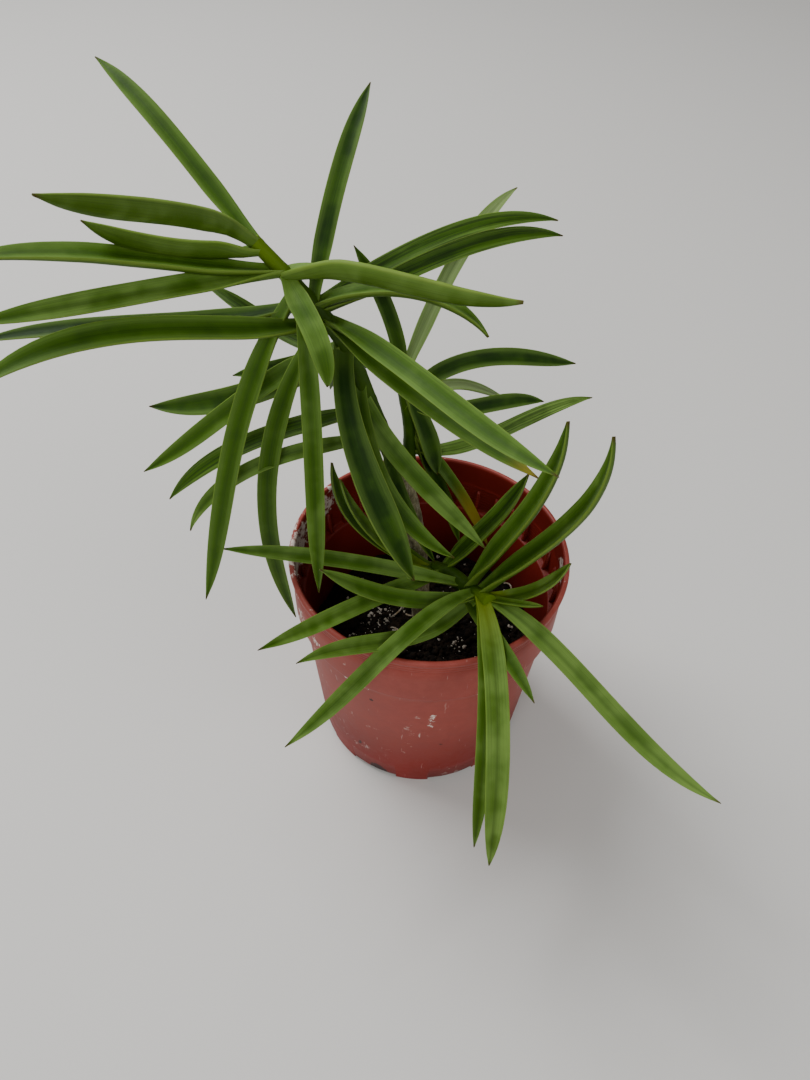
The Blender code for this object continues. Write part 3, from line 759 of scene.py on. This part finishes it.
def make_stem_tree():
    inputs = [("Points Around", "NodeSocketInt", 28), ("Lumps", "NodeSocketFloat", 0.0002)]
    inputs += [("Skin", "NodeSocketMaterial", None)]
    tree, given, result = start_geometry("stem_tube", inputs)
    curve = place(tree, "GeometryNodeMeshToCurve", {"Mesh": given["Geometry"]}).outputs[0]
    inputs = {"Curve": curve, "Radius": field(tree, "thickness")}
    curve = place(tree, "GeometryNodeSetCurveRadius", inputs).outputs[0]
    ring = place(tree, "GeometryNodeCurvePrimitiveCircle", {"Resolution": given["Points Around"], "Radius": 1.0})
    inputs = {"Curve": curve, "Profile Curve": ring.outputs[0], "Fill Caps": True}
    inputs["Scale"] = field(tree, "thickness")
    mesh = place(tree, "GeometryNodeCurveToMesh", inputs).outputs[0]
    here = place(tree, "GeometryNodeInputPosition").outputs[0]
    lumps = fine_noise(tree, here, 420.0, 3.0)
    lumps = maths(tree, "MULTIPLY", maths(tree, "SUBTRACT", lumps, 0.5), given["Lumps"])
    push = vector_maths(tree, "SCALE", place(tree, "GeometryNodeInputNormal").outputs[0], scale=lumps)
    mesh = place(tree, "GeometryNodeSetPosition", {"Geometry": mesh, "Offset": push}).outputs[0]
    end_geometry(tree, mesh, given["Skin"], result)
    return tree


STEM_TREE = make_stem_tree()


def make_stem(name):
    node, path, radii, swelling, ring_spacing, is_bark = STEM_PIECES[name]
    points = smooth_points(path, 0.8)
    count = len(points) - 1
    thickness = []
    for index in range(count + 1):
        part = index / count
        wave = math.cos(2 * math.pi * index * 0.8 / ring_spacing)
        ring = swelling * max(0.0, wave) ** 6
        thickness.append((radii[0] + (radii[1] - radii[0]) * part - swelling + ring) * MM)
    along = [index / count for index in range(count + 1)]
    columns = [("thickness", "FLOAT", thickness), ("along", "FLOAT", along)]
    paths = paths_object(name + "_path", [points], columns)
    skin = SPECKLED_BARK if is_bark else GREEN_STEM
    lumps = 0.0004 if is_bark else 0.0001
    piece = grow(paths, STEM_TREE, name, {"Lumps": lumps, "Skin": skin})
    face_outwards(piece)
    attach(piece, "root")
    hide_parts(node)


for stem in STEM_PIECES:
    make_stem(stem)

# %% [markdown]
# ## The pot
# A nursery pot is formed from a thin sheet of plastic drawn into a mould. So it has one thickness all over, soft
# corners, a stepped skirt that stiffens the rim, and a ledge with thin gussets where pots nest in each other.
# The wall is turned from a profile. Fine lines run round it under the lip and inside, as the mould left them.

# %% The pot's profile
POT_HEIGHT = 85.0
LIP_RADIUS = 45.0
LIP_HEIGHT = 1.8
LIP_ROUND = 1.0
SKIRT_RADIUS = 44.2
SKIRT_DROP = 21.0
STEP_DEPTH = 2.4
STEP_SLOPE = 1.5
LEDGE_RISE = 1.2
POT_ROUND = 0.7
BASE_RADIUS = 36.6
WALL = 1.3
FLOOR = 1.6
POT_SIDES = 240
SLOT_COUNT = 8
SLOT_SIZE = (6.8, 17.0, 4.2)
FIRST_SLOT_BEARING = 19.0
RIB_COUNT = 36
RIB_THICKNESS = 1.0
RIB_HEIGHT = 9.0
RIB_TOP = 0.4
FIRST_RIB_BEARING = 5.0
LINE_DEPTH = 0.2
BAND_HEIGHTS = (66.6, 75.0)
BAND_LINES = 8


def inner_wall_radius(height):
    """Radius of the pot's inner wall below the ledge."""
    slope = (SKIRT_RADIUS - STEP_DEPTH - BASE_RADIUS) / (POT_HEIGHT - SKIRT_DROP)
    return BASE_RADIUS - WALL + slope * height


def arc(centre_radius, centre_height, radius, first, last, steps):
    """Points of a rounding in the profile, between two angles in degrees."""
    points = []
    for step in range(steps + 1):
        angle = math.radians(first + (last - first) * step / steps)
        points.append((centre_radius + radius * math.cos(angle), centre_height + radius * math.sin(angle)))
    return points


def pot_profile():
    """The outline from the middle of the underside, up the outside, over the lip and down the inside."""
    step_height = POT_HEIGHT - SKIRT_DROP
    wall_top = SKIRT_RADIUS - STEP_DEPTH
    lip_foot = POT_HEIGHT - LIP_HEIGHT
    profile = [(0, 0.5), (BASE_RADIUS - 7, 0.5), (BASE_RADIUS - 6.4, 0)]
    profile += arc(BASE_RADIUS - POT_ROUND, POT_ROUND, POT_ROUND, -90, -4, 5)
    for share in (0.15, 0.3, 0.5, 0.7, 0.85, 0.95):
        height = POT_ROUND + (step_height - STEP_SLOPE - POT_ROUND) * share
        profile.append((BASE_RADIUS + (wall_top - BASE_RADIUS) * share, height))
    profile += [(wall_top, step_height - STEP_SLOPE), (wall_top + 0.7, step_height - 1.15)]
    profile += [(SKIRT_RADIUS - 1.2, step_height - 0.45), (SKIRT_RADIUS - POT_ROUND, step_height)]
    profile += [(SKIRT_RADIUS - 0.4, step_height + 0.5), (SKIRT_RADIUS - 0.3, step_height + LEDGE_RISE)]
    profile += [(SKIRT_RADIUS - 0.2, step_height + 6), (SKIRT_RADIUS - 0.12, step_height + 11)]
    for height in (lip_foot - 3.4, lip_foot - 2.4, lip_foot - 1.4):
        profile += [(SKIRT_RADIUS - 0.05, height - 0.25), (SKIRT_RADIUS - 0.05 - LINE_DEPTH, height)]
        profile.append((SKIRT_RADIUS - 0.05, height + 0.25))
    profile += [(SKIRT_RADIUS, lip_foot - 0.6), (SKIRT_RADIUS + 0.1, lip_foot - 0.25)]
    profile += [(LIP_RADIUS - 0.35, lip_foot), (LIP_RADIUS - 0.08, lip_foot + 0.25)]
    profile += arc(LIP_RADIUS - LIP_ROUND, POT_HEIGHT - LIP_ROUND, LIP_ROUND, 0, 180, 10)
    inner = SKIRT_RADIUS - WALL
    profile += [(inner + 0.05, 82), (inner, 79), (inner, 76.6)]
    low, high = BAND_HEIGHTS
    for line in range(BAND_LINES):
        height = high - (high - low) * line / (BAND_LINES - 1)
        profile += [(inner, height + 0.35), (inner - LINE_DEPTH, height), (inner, height - 0.35)]
    ledge = step_height + LEDGE_RISE
    profile += [(inner - 0.15, ledge + 0.12), (inner - 0.4, ledge)]
    profile += [(inner_wall_radius(step_height) + POT_ROUND, ledge)]
    profile += [(inner_wall_radius(step_height) + 0.2, ledge - 0.2), (inner_wall_radius(step_height), ledge - 0.7)]
    profile += [(inner_wall_radius(50), 50), (inner_wall_radius(30), 30), (inner_wall_radius(2.4), 2.4)]
    profile += [(inner_wall_radius(FLOOR) - 0.8, FLOOR), (0, FLOOR)]
    return profile


def turned_mesh(name, profile, sides):
    """A turned body with closed poles. The profile starts and ends on the axis."""
    mesh_data = bmesh.new()
    rings = []
    for radius, height in profile[1:-1]:
        ring = []
        for spoke in range(sides):
            angle = 2 * math.pi * spoke / sides
            ring.append(mesh_data.verts.new(Vector((radius * math.cos(angle), radius * math.sin(angle), height)) * MM))
        rings.append(ring)
    for lower, upper in zip(rings, rings[1:]):
        for index in range(sides):
            following = (index + 1) % sides
            mesh_data.faces.new((lower[index], lower[following], upper[following], upper[index]))
    for ring, height in ((rings[0], profile[0][1]), (rings[-1], profile[-1][1])):
        centre = mesh_data.verts.new((0, 0, height * MM))
        for index in range(sides):
            mesh_data.faces.new((ring[index], ring[(index + 1) % sides], centre))
    bmesh.ops.recalc_face_normals(mesh_data, faces=mesh_data.faces)
    mesh = bpy.data.meshes.new(name)
    mesh_data.to_mesh(mesh)
    mesh_data.free()
    thing = bpy.data.objects.new(name, mesh)
    bpy.context.scene.collection.objects.link(thing)
    return thing


# %% [markdown]
# ## Red plastic
# The plastic is dull red-brown with a soft sheen, and a little grey haze lies on the skirt. Lime has dried in
# patches near the lip at the left, one white splash sits on the right, and short scratches and dark specks mark
# the wall. Each mark is placed by its bearing and its height, as it would be described to someone.

# %% The pot's material
POT_RED = colour(122, 36, 26)
# Deep red for the mottle, and also the colour of the painted shade deep inside the pot.
POT_DEEP_RED_AND_SHADE = colour(84, 18, 10)
POT_BRIGHT = colour(128, 26, 14)
POT_HAZE = colour(160, 82, 72)
POT_LIME = colour(228, 218, 208)
POT_DIRT = colour(24, 12, 8)
LINE_SPACING = 0.0012
# Lime: bearing, height, half the width along the lip, half the height, amount. Lengths in millimetres.
LIME_PATCHES = ((180, 79, 30, 13, 0.74), (152, 80, 20, 10, 0.72), (-4, 80, 9, 6, 0.9), (116, 81, 11, 7, 0.75),
                (-122, 60, 9, 3, 0.6), (-152, 68, 24, 14, 0.42), (-66, 62, 5, 4, 0.6), (-86, 48, 2, 9, 0.6))
STAINS = ((-113, 3, 5, 4, 1.3), (-124, 17, 2, 4, 0.7), (-114, 54, 1.5, 1.5, 0.8), (-80, 30, 2, 2, 0.5))


def patch_mask(tree, here, bearing, height, half_width, half_height):
    """A soft patch on the pot's wall, round a place given by its bearing and height."""
    turn = math.radians(bearing)
    radius = SKIRT_RADIUS if height > POT_HEIGHT - SKIRT_DROP else inner_wall_radius(height) + WALL
    middle = (radius * math.cos(turn) * MM, radius * math.sin(turn) * MM, height * MM)
    away = vector_maths(tree, "SUBTRACT", here, constant_vector(tree, middle))
    stretch = (1 / (half_width * MM), 1 / (half_width * MM), 1 / (half_height * MM))
    scaled = vector_maths(tree, "MULTIPLY", away, constant_vector(tree, stretch))
    length = place(tree, "ShaderNodeVectorMath", {0: scaled}, operation="LENGTH").outputs["Value"]
    return window(tree, length, 0.2, 1.0, 1.0, 0.0)


def constant_vector(tree, values):
    inputs = {"X": values[0], "Y": values[1], "Z": values[2]}
    return place(tree, "ShaderNodeCombineXYZ", inputs).outputs[0]


def inside_mask(tree, parts):
    """1 on the pot's inner faces: a point nearer to the axis than the middle of the wall."""
    flat = place(tree, "ShaderNodeCombineXYZ", {"X": parts["X"], "Y": parts["Y"]}).outputs[0]
    radius = place(tree, "ShaderNodeVectorMath", {0: flat}, operation="LENGTH").outputs["Value"]
    slope = (SKIRT_RADIUS - STEP_DEPTH - BASE_RADIUS) / (POT_HEIGHT - SKIRT_DROP)
    middle_low = maths(tree, "MULTIPLY_ADD", parts["Z"], slope, (BASE_RADIUS - WALL / 2) * MM)
    is_low = maths(tree, "LESS_THAN", parts["Z"], (POT_HEIGHT - SKIRT_DROP + LEDGE_RISE / 2) * MM)
    inside_wall = maths(tree, "MULTIPLY", is_low, maths(tree, "LESS_THAN", radius, middle_low))
    inside_skirt = maths(tree, "LESS_THAN", radius, (SKIRT_RADIUS - WALL / 2) * MM)
    inside_skirt = maths(tree, "MULTIPLY", maths(tree, "SUBTRACT", 1.0, is_low), inside_skirt)
    return maths(tree, "ADD", inside_wall, inside_skirt)


def make_plastic():
    material, tree, shader = new_material("red_plastic")
    here = place(tree, "ShaderNodeTexCoord").outputs["Object"]
    parts = place(tree, "ShaderNodeSeparateXYZ", {0: here}).outputs
    up = parts["Z"]
    inner = inside_mask(tree, parts)
    outer = maths(tree, "SUBTRACT", 1.0, inner)
    mottle = use_group(tree, MOTTLE, {"Vector": here, "Scale": 45.0})
    base = blend(tree, window(tree, up, 0.0, 0.03), POT_BRIGHT, POT_RED)
    base = blend(tree, maths(tree, "MULTIPLY", mottle["Patches"], 0.3), base, POT_DEEP_RED_AND_SHADE)
    # Painted shade: the inner wall is darkened more the deeper it lies, where the pot's own shade falls.
    depth = window(tree, up, 0.036, 0.068, 0.95, 0.15)
    base = blend(tree, maths(tree, "MULTIPLY", inner, depth), base, POT_DEEP_RED_AND_SHADE)
    wave = maths(tree, "SINE", maths(tree, "MULTIPLY", up, 2 * math.pi / LINE_SPACING))
    band = maths(tree, "MULTIPLY", window(tree, up, 0.0662, 0.0672), window(tree, up, 0.0742, 0.0752, 1.0, 0.0))
    ridges = maths(tree, "MULTIPLY", maths(tree, "MULTIPLY", window(tree, wave, 0.6, 0.95), band), inner)
    base = blend(tree, maths(tree, "MULTIPLY", ridges, 0.35), base, POT_HAZE)
    hazy = maths(tree, "MULTIPLY", window(tree, up, 0.008, 0.045, 0.05, 0.8), outer)
    haze = maths(tree, "MULTIPLY", hazy, window(tree, mottle["Grain"], 0.3, 0.75, 0.5, 0.8))
    base = blend(tree, haze, base, POT_HAZE)
    stretched = place(tree, "ShaderNodeMapping", {"Vector": here, "Scale": (1.0, 1.0, 0.12)}).outputs[0]
    scratches = fine_noise(tree, stretched, 700.0, 2.0)
    scratches = maths(tree, "MULTIPLY", window(tree, scratches, 0.68, 0.74), mottle["Patches"])
    base = blend(tree, maths(tree, "MULTIPLY", maths(tree, "MULTIPLY", scratches, outer), 0.5), base, POT_LIME)
    scuffs = use_group(tree, DEPOSIT, {"Vector": here, "Scale": 160.0, "Amount": 0.14})
    base = blend(tree, maths(tree, "MULTIPLY", maths(tree, "MULTIPLY", scuffs["Crust"], outer), 0.3), base, POT_LIME)
    for bearing, height, half_width, half_height, amount in LIME_PATCHES:
        mask = patch_mask(tree, here, bearing, height, half_width, half_height)
        inputs = {"Vector": here, "Scale": 420.0, "Amount": maths(tree, "MULTIPLY", mask, amount)}
        crust = use_group(tree, DEPOSIT, inputs)
        base = blend(tree, maths(tree, "MULTIPLY", crust["Crust"], window(tree, mask, 0.0, 0.3, 0.0, 0.8)), base, POT_LIME)
    for bearing, height, half_width, half_height, amount in STAINS:
        mask = patch_mask(tree, here, bearing, height, half_width, half_height)
        inputs = {"Vector": here, "Scale": 260.0, "Amount": maths(tree, "MULTIPLY", mask, amount)}
        stain = use_group(tree, DEPOSIT, inputs)
        base = blend(tree, maths(tree, "MULTIPLY", stain["Crust"], window(tree, mask, 0.0, 0.3, 0.0, 0.9)), base, POT_DIRT)
    roughness = maths(tree, "MULTIPLY_ADD", mottle["Grain"], 0.25, 0.4)
    finish_shader(tree, shader, base, roughness, mottle["Grain"], 0.25, 0.0002)
    shader.inputs["Specular IOR Level"].default_value = 0.3
    return material


RED_PLASTIC = make_plastic()

# %% [markdown]
# ## Slots in the foot and gussets on the ledge
# Both repeat evenly round the pot, so both are instances on the points of a circle, turned to face outwards. The
# slots are cut out of the turned wall, the gussets stand on the ledge.

# %% Round the circle


def ring_of_points(tree, count, radius, height, first_bearing):
    """Instance points on a circle with a rotation that faces outwards."""
    circle = place(tree, "GeometryNodeMeshCircle", {"Vertices": count, "Radius": radius}).outputs[0]
    inputs = {"X": 0.0, "Y": 0.0, "Z": first_bearing}
    turn = place(tree, "ShaderNodeCombineXYZ", inputs).outputs[0]
    lift = place(tree, "ShaderNodeCombineXYZ", {"Z": height}).outputs[0]
    inputs = {"Geometry": circle, "Translation": lift, "Rotation": turn}
    moved = place(tree, "GeometryNodeTransform", inputs).outputs[0]
    parts = place(tree, "ShaderNodeSeparateXYZ", {0: place(tree, "GeometryNodeInputPosition").outputs[0]}).outputs
    bearing = maths(tree, "ARCTAN2", parts["Y"], parts["X"])
    facing = place(tree, "ShaderNodeCombineXYZ", {"Z": bearing}).outputs[0]
    return moved, facing


def make_slot_tree():
    inputs = [("Slots", "NodeSocketInt", 8), ("Radius", "NodeSocketFloat", 0.03)]
    inputs += [("Size", "NodeSocketVector", None), ("First Bearing", "NodeSocketFloat", 0.0)]
    inputs += [("Plastic", "NodeSocketMaterial", None)]
    tree, given, result = start_geometry("drain_slots", inputs)
    points, facing = ring_of_points(tree, given["Slots"], given["Radius"], 0.0, given["First Bearing"])
    block = place(tree, "GeometryNodeMeshCube", {"Size": given["Size"]}).outputs[0]
    inputs = {"Points": points, "Instance": block, "Rotation": facing}
    blocks = place(tree, "GeometryNodeInstanceOnPoints", inputs).outputs[0]
    blocks = place(tree, "GeometryNodeRealizeInstances", {"Geometry": blocks}).outputs[0]
    cut = place(tree, "GeometryNodeMeshBoolean", operation="DIFFERENCE", solver="EXACT")
    tree.links.new(given["Geometry"], cut.inputs["Mesh 1"])
    tree.links.new(blocks, cut.inputs["Mesh 2"])
    end_geometry(tree, cut.outputs[0], given["Plastic"], result)
    return tree


def make_gusset_tree():
    inputs = [("Gussets", "NodeSocketInt", 36), ("Radius", "NodeSocketFloat", 0.04)]
    inputs += [("Height", "NodeSocketFloat", 0.065), ("First Bearing", "NodeSocketFloat", 0.0)]
    inputs += [("Plastic", "NodeSocketMaterial", None)]
    tree, given, result = start_geometry("gussets", inputs)
    points, facing = ring_of_points(tree, given["Gussets"], given["Radius"], given["Height"], given["First Bearing"])
    inputs = {"Points": points, "Instance": given["Geometry"], "Rotation": facing}
    ribs = place(tree, "GeometryNodeInstanceOnPoints", inputs).outputs[0]
    end_geometry(tree, ribs, given["Plastic"], result)
    return tree


def make_pot():
    turned = turned_mesh("pot_wall", pot_profile(), POT_SIDES)
    values = {"Slots": SLOT_COUNT, "Radius": BASE_RADIUS * MM, "Size": [part * MM for part in SLOT_SIZE]}
    values["First Bearing"] = math.radians(FIRST_SLOT_BEARING)
    values["Plastic"] = RED_PLASTIC
    pot = grow(turned, make_slot_tree(), "nursery_pot", values)
    face_outwards(pot)
    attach(pot, "root")
    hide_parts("pot")


def make_gussets():
    foot = POT_HEIGHT - SKIRT_DROP + LEDGE_RISE - 0.3
    inside = inner_wall_radius(foot) + RIB_TOP
    outside = SKIRT_RADIUS - POT_ROUND
    thick = RIB_THICKNESS / 2
    mesh_data = bmesh.new()
    depth = outside - inside
    outline = ((0, 0), (depth, 0), (depth, RIB_HEIGHT), (depth - 1.2, RIB_HEIGHT), (0.9, RIB_HEIGHT - 1.4), (0.3, 1.2))
    sides = []
    for y in (-thick, thick):
        sides.append([mesh_data.verts.new(Vector((x, y, z)) * MM) for x, z in outline])
    count = len(outline)
    mesh_data.faces.new(sides[0])
    mesh_data.faces.new(list(reversed(sides[1])))
    for index in range(count):
        following = (index + 1) % count
        mesh_data.faces.new((sides[0][following], sides[0][index], sides[1][index], sides[1][following]))
    bmesh.ops.bevel(mesh_data, geom=mesh_data.edges, offset=0.12 * MM, segments=2, affect="EDGES")
    mesh = bpy.data.meshes.new("gusset")
    mesh_data.to_mesh(mesh)
    mesh_data.free()
    thing = bpy.data.objects.new("gusset", mesh)
    bpy.context.scene.collection.objects.link(thing)
    values = {"Gussets": RIB_COUNT, "Radius": inside * MM, "Height": foot * MM}
    values["First Bearing"] = math.radians(FIRST_RIB_BEARING)
    values["Plastic"] = RED_PLASTIC
    gussets = grow(thing, make_gusset_tree(), "gusset_ribs", values)
    face_outwards(gussets)
    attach(gussets, "root")
    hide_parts("pot")


make_pot()
make_gussets()

# %% [markdown]
# ## Potting mix
# The mix is black peat, coarse and crumbly, with white perlite and a few pale root fibres. Its surface is a fine
# mesh displaced by noise. Crumbs of many sizes are scattered over it as instances, each a rough lump turned at
# random, and the perlite lies in a few clusters where watering washed it together.

# %% Potting mix materials
PEAT_DARK = colour(16, 12, 7)
PEAT_BROWN = colour(52, 39, 26)
PERLITE_WHITE = colour(236, 230, 218)
PERLITE_GREY = colour(176, 166, 148)
FIBRE_TAN = colour(140, 118, 84)


def make_grain_material(name, dark, light, rough):
    material, tree, shader = new_material(name)
    here = place(tree, "ShaderNodeTexCoord").outputs["Object"]
    mottle = use_group(tree, MOTTLE, {"Vector": here, "Scale": 500.0})
    base = blend(tree, maths(tree, "MULTIPLY", mottle["Patches"], mottle["Grain"]), dark, light)
    roughness = maths(tree, "MULTIPLY_ADD", mottle["Grain"], 0.1, rough)
    finish_shader(tree, shader, base, roughness, mottle["Grain"], 0.9, 0.0006)
    shader.inputs["Specular IOR Level"].default_value = 0.2
    return material


PEAT = make_grain_material("peat", PEAT_DARK, PEAT_BROWN, 0.88)
PERLITE = make_grain_material("perlite", PERLITE_GREY, PERLITE_WHITE, 0.8)
FIBRE = make_grain_material("root_fibre", FIBRE_TAN, PERLITE_WHITE, 0.7)

# %% The surface of the mix
SOIL_LEVEL = 42.0
SOIL_MOUND = 1.6
SOIL_LUMP = 0.7
SOIL_GAP = 0.3
SOIL_WAVES = ((0.71, 0.21, 1.3, 0.8), (-0.24, 0.63, 0.4, 0.7), (0.37, -0.52, 0.0, 0.5))
SOIL_SIDES = 200
SOIL_STEPS = 60


def soil_height(x, y):
    distance = math.hypot(x, y) / inner_wall_radius(SOIL_LEVEL)
    lumps = 0.0
    for along_x, along_y, offset, share in SOIL_WAVES:
        lumps += share * math.sin(along_x * x + along_y * y + offset)
    return SOIL_LEVEL + SOIL_MOUND * (1 - distance ** 2) + SOIL_LUMP * lumps


def make_soil():
    edge = inner_wall_radius(SOIL_LEVEL - SOIL_MOUND) - SOIL_GAP
    foot = inner_wall_radius(FLOOR) - 2 * SOIL_GAP
    low = FLOOR + SOIL_GAP
    profile = [(0, low), (foot - 0.8, low), (foot, low + 0.8)]
    for step in range(SOIL_STEPS):
        profile.append((edge * (1 - step / SOIL_STEPS), SOIL_LEVEL))
    profile.append((0, SOIL_LEVEL))
    soil = turned_mesh("potting_mix", profile, SOIL_SIDES)
    for vertex in soil.data.vertices:
        if vertex.co.z > (SOIL_LEVEL - 1) * MM:
            x = vertex.co.x / MM
            y = vertex.co.y / MM
            crumble = noise.fractal(Vector((x, y, 0)) * 0.55, 1.0, 2.0, 4)
            fade = min(1.0, (edge - math.hypot(x, y)) / 1.5 + 0.15)
            vertex.co.z = (soil_height(x, y) + 0.9 * crumble * fade - 0.3) * MM
    soil.data.materials.append(PEAT)
    for polygon in soil.data.polygons:
        polygon.use_smooth = True
    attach(soil, "root")
    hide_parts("soil")
    return soil


# %% Crumbs on the mix


def make_crumb_tree():
    inputs = [("Spacing", "NodeSocketFloat", 0.001), ("Density", "NodeSocketFloat", 900000.0)]
    inputs += [("Smallest", "NodeSocketFloat", 0.0004), ("Largest", "NodeSocketFloat", 0.0014)]
    inputs += [("Seed", "NodeSocketInt", 1), ("Grain", "NodeSocketMaterial", None)]
    tree, given, result = start_geometry("crumbs", inputs)
    inputs = {"Mesh": given["Geometry"], "Distance Min": given["Spacing"], "Density Max": given["Density"]}
    inputs["Density Factor"] = field(tree, "gather")
    inputs["Seed"] = given["Seed"]
    points = place(tree, "GeometryNodeDistributePointsOnFaces", inputs, distribute_method="POISSON").outputs[0]
    lump = place(tree, "GeometryNodeMeshIcoSphere", {"Radius": 1.0, "Subdivisions": 1}).outputs[0]
    rough = fine_noise(tree, place(tree, "GeometryNodeInputPosition").outputs[0], 1.6, 2.0)
    push = vector_maths(tree, "SCALE", place(tree, "GeometryNodeInputNormal").outputs[0],
                        scale=maths(tree, "MULTIPLY_ADD", rough, 1.2, -0.6))
    lump = place(tree, "GeometryNodeSetPosition", {"Geometry": lump, "Offset": push}).outputs[0]
    inputs = {"Seed": given["Seed"], 0: (0.0, 0.0, 0.0), 1: (6.28, 6.28, 6.28)}
    turn = place(tree, "FunctionNodeRandomValue", inputs, data_type="FLOAT_VECTOR").outputs[0]
    size = place(tree, "FunctionNodeRandomValue", {"Seed": given["Seed"]}, data_type="FLOAT")
    size = maths(tree, "POWER", size.outputs[1], 2.5)
    span = maths(tree, "SUBTRACT", given["Largest"], given["Smallest"])
    size = maths(tree, "MULTIPLY_ADD", size, span, given["Smallest"])
    inputs = {"Points": points, "Instance": lump, "Rotation": turn, "Scale": size}
    crumbs = place(tree, "GeometryNodeInstanceOnPoints", inputs).outputs[0]
    end_geometry(tree, crumbs, given["Grain"], result)
    return tree


def everywhere(x, y):
    return 1.0 if math.hypot(x, y) < CRUMB_REACH else 0.0


def in_clusters(x, y):
    """How thickly perlite lies at a place: most in the middle of each cluster, and a few grains elsewhere."""
    thickest = FEW_GRAINS * everywhere(x, y)
    for centre_x, centre_y, radius, amount in PERLITE_CLUSTERS:
        distance = math.hypot(x - centre_x, y - centre_y) / radius
        thickest = max(thickest, amount * (1 - distance ** 2))
    return thickest


def scatter(soil, tree, name, gather, values):
    """Scatter crumbs over a copy of the mix's surface, as thickly as the gather function says."""
    ground = bpy.data.objects.new(name + "_ground", soil.data.copy())
    bpy.context.scene.collection.objects.link(ground)
    shares = []
    for vertex in ground.data.vertices:
        place_x, place_y, height = vertex.co / MM
        shares.append(gather(place_x, place_y) if height > SOIL_LEVEL - SOIL_DIP else 0.0)
    ground.data.attributes.new("gather", "FLOAT", "POINT").data.foreach_set("value", shares)
    piece = grow(ground, tree, name, values)
    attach(piece, "root")


CRUMB_REACH = 37.0
SOIL_DIP = 3.0
FEW_GRAINS = 0.03
# Clusters: place on the mix, radius and amount.
PERLITE_CLUSTERS = ((-15, 5, 5.6, 1.6), (-12, -6, 5.4, 1.3), (-19, 1, 4.6, 1.0), (-23, 9, 3.4, 0.9),
                    (-25, -6, 4.0, 0.7), (11, -7, 4.0, 1.4), (31, 2, 2.0, 1.0), (31, 19, 2.0, 1.0),
                    (-9, 9, 3.4, 1.0), (-2, 10, 2.6, 0.6))
soil = make_soil()
crumb_tree = make_crumb_tree()
scatter(soil, crumb_tree, "peat_crumbs", everywhere, {
    "Spacing": 0.00095, "Smallest": 0.0004, "Largest": 0.0016, "Seed": 2, "Grain": PEAT})
scatter(soil, crumb_tree, "perlite_crumbs", in_clusters, {
    "Spacing": 0.0006, "Smallest": 0.00024, "Largest": 0.001, "Seed": 5, "Grain": PERLITE})

# %% Root fibres
# A few bare roots lie in loops on the mix: centre, radius, first and last bearing, and rise at the middle.
FIBRE_THICKNESS = 0.28
FIBRE_STEPS = 14
FIBRES = {
    "root_fibre_left": (-12.5, 8.5, 4.4, -75, 95, 1.2),
    "root_fibre_middle": (-3.5, 9.0, 4.6, -150, 10, 1.2),
    "root_fibre_front": (-13.0, -4.5, 4.0, -95, 70, 1.0),
    "root_fibre_right": (29.5, 19.5, 2.6, -80, 90, 1.6),
}


def fibre_points(centre_x, centre_y, radius, first, last, rise):
    points = []
    for step in range(FIBRE_STEPS + 1):
        share = step / FIBRE_STEPS
        turn = math.radians(first + (last - first) * share)
        x = centre_x + radius * math.cos(turn)
        y = centre_y + radius * math.sin(turn)
        points.append((x, y, soil_height(x, y) + rise * math.sin(math.pi * share)))
    return points


def make_fibre(name):
    points = smooth_points(fibre_points(*FIBRES[name]), 0.8)
    columns = [("thickness", "FLOAT", [FIBRE_THICKNESS * MM] * len(points))]
    paths = paths_object(name + "_path", [points], columns)
    piece = grow(paths, STEM_TREE, name, {"Points Around": 8, "Lumps": 0.0002, "Skin": FIBRE})
    face_outwards(piece)
    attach(piece, "root")


for fibre in FIBRES:
    make_fibre(fibre)

# %% [markdown]
# ## Floor and light
# A plain pale floor and three soft lamps stand in for the room. The largest lamp hangs over the left side, where
# the real window was, a second one fills from the right, and the world is a dim neutral grey.

# %% Stage
FLOOR_SIZE = 3.0
LAMPS = (
    ("window_light", (-0.7, 0.5, 1.2), 0.8, 22.0),
    ("fill_light", (0.9, -0.7, 0.9), 0.8, 5.0),
    ("front_light", (-0.3, -1.1, 0.9), 0.7, 7.0),
)


def make_floor():
    mesh_data = bmesh.new()
    bmesh.ops.create_grid(mesh_data, x_segments=1, y_segments=1, size=FLOOR_SIZE / 2)
    mesh = bpy.data.meshes.new("floor")
    mesh_data.to_mesh(mesh)
    mesh_data.free()
    floor = bpy.data.objects.new("floor", mesh)
    bpy.context.scene.collection.objects.link(floor)
    material, _, shader = new_material("pale_floor")
    shader.inputs["Base Color"].default_value = (0.62, 0.61, 0.59, 1.0)
    shader.inputs["Roughness"].default_value = 0.8
    mesh.materials.append(material)


def make_lamp(name, position, size, power):
    data = bpy.data.lights.new(name, "AREA")
    data.size = size
    data.energy = power
    lamp = bpy.data.objects.new(name, data)
    lamp.location = position
    aim = Vector((0, 0, 0.1)) - Vector(position)
    lamp.rotation_euler = aim.to_track_quat("-Z", "Y").to_euler()
    bpy.context.scene.collection.objects.link(lamp)


make_floor()
for lamp in LAMPS:
    make_lamp(*lamp)
world = bpy.data.worlds.new("studio")
world.use_nodes = True
world.node_tree.nodes["Background"].inputs[0].default_value = (0.84, 0.83, 0.80, 1.0)
world.node_tree.nodes["Background"].inputs[1].default_value = 0.32
bpy.context.scene.world = world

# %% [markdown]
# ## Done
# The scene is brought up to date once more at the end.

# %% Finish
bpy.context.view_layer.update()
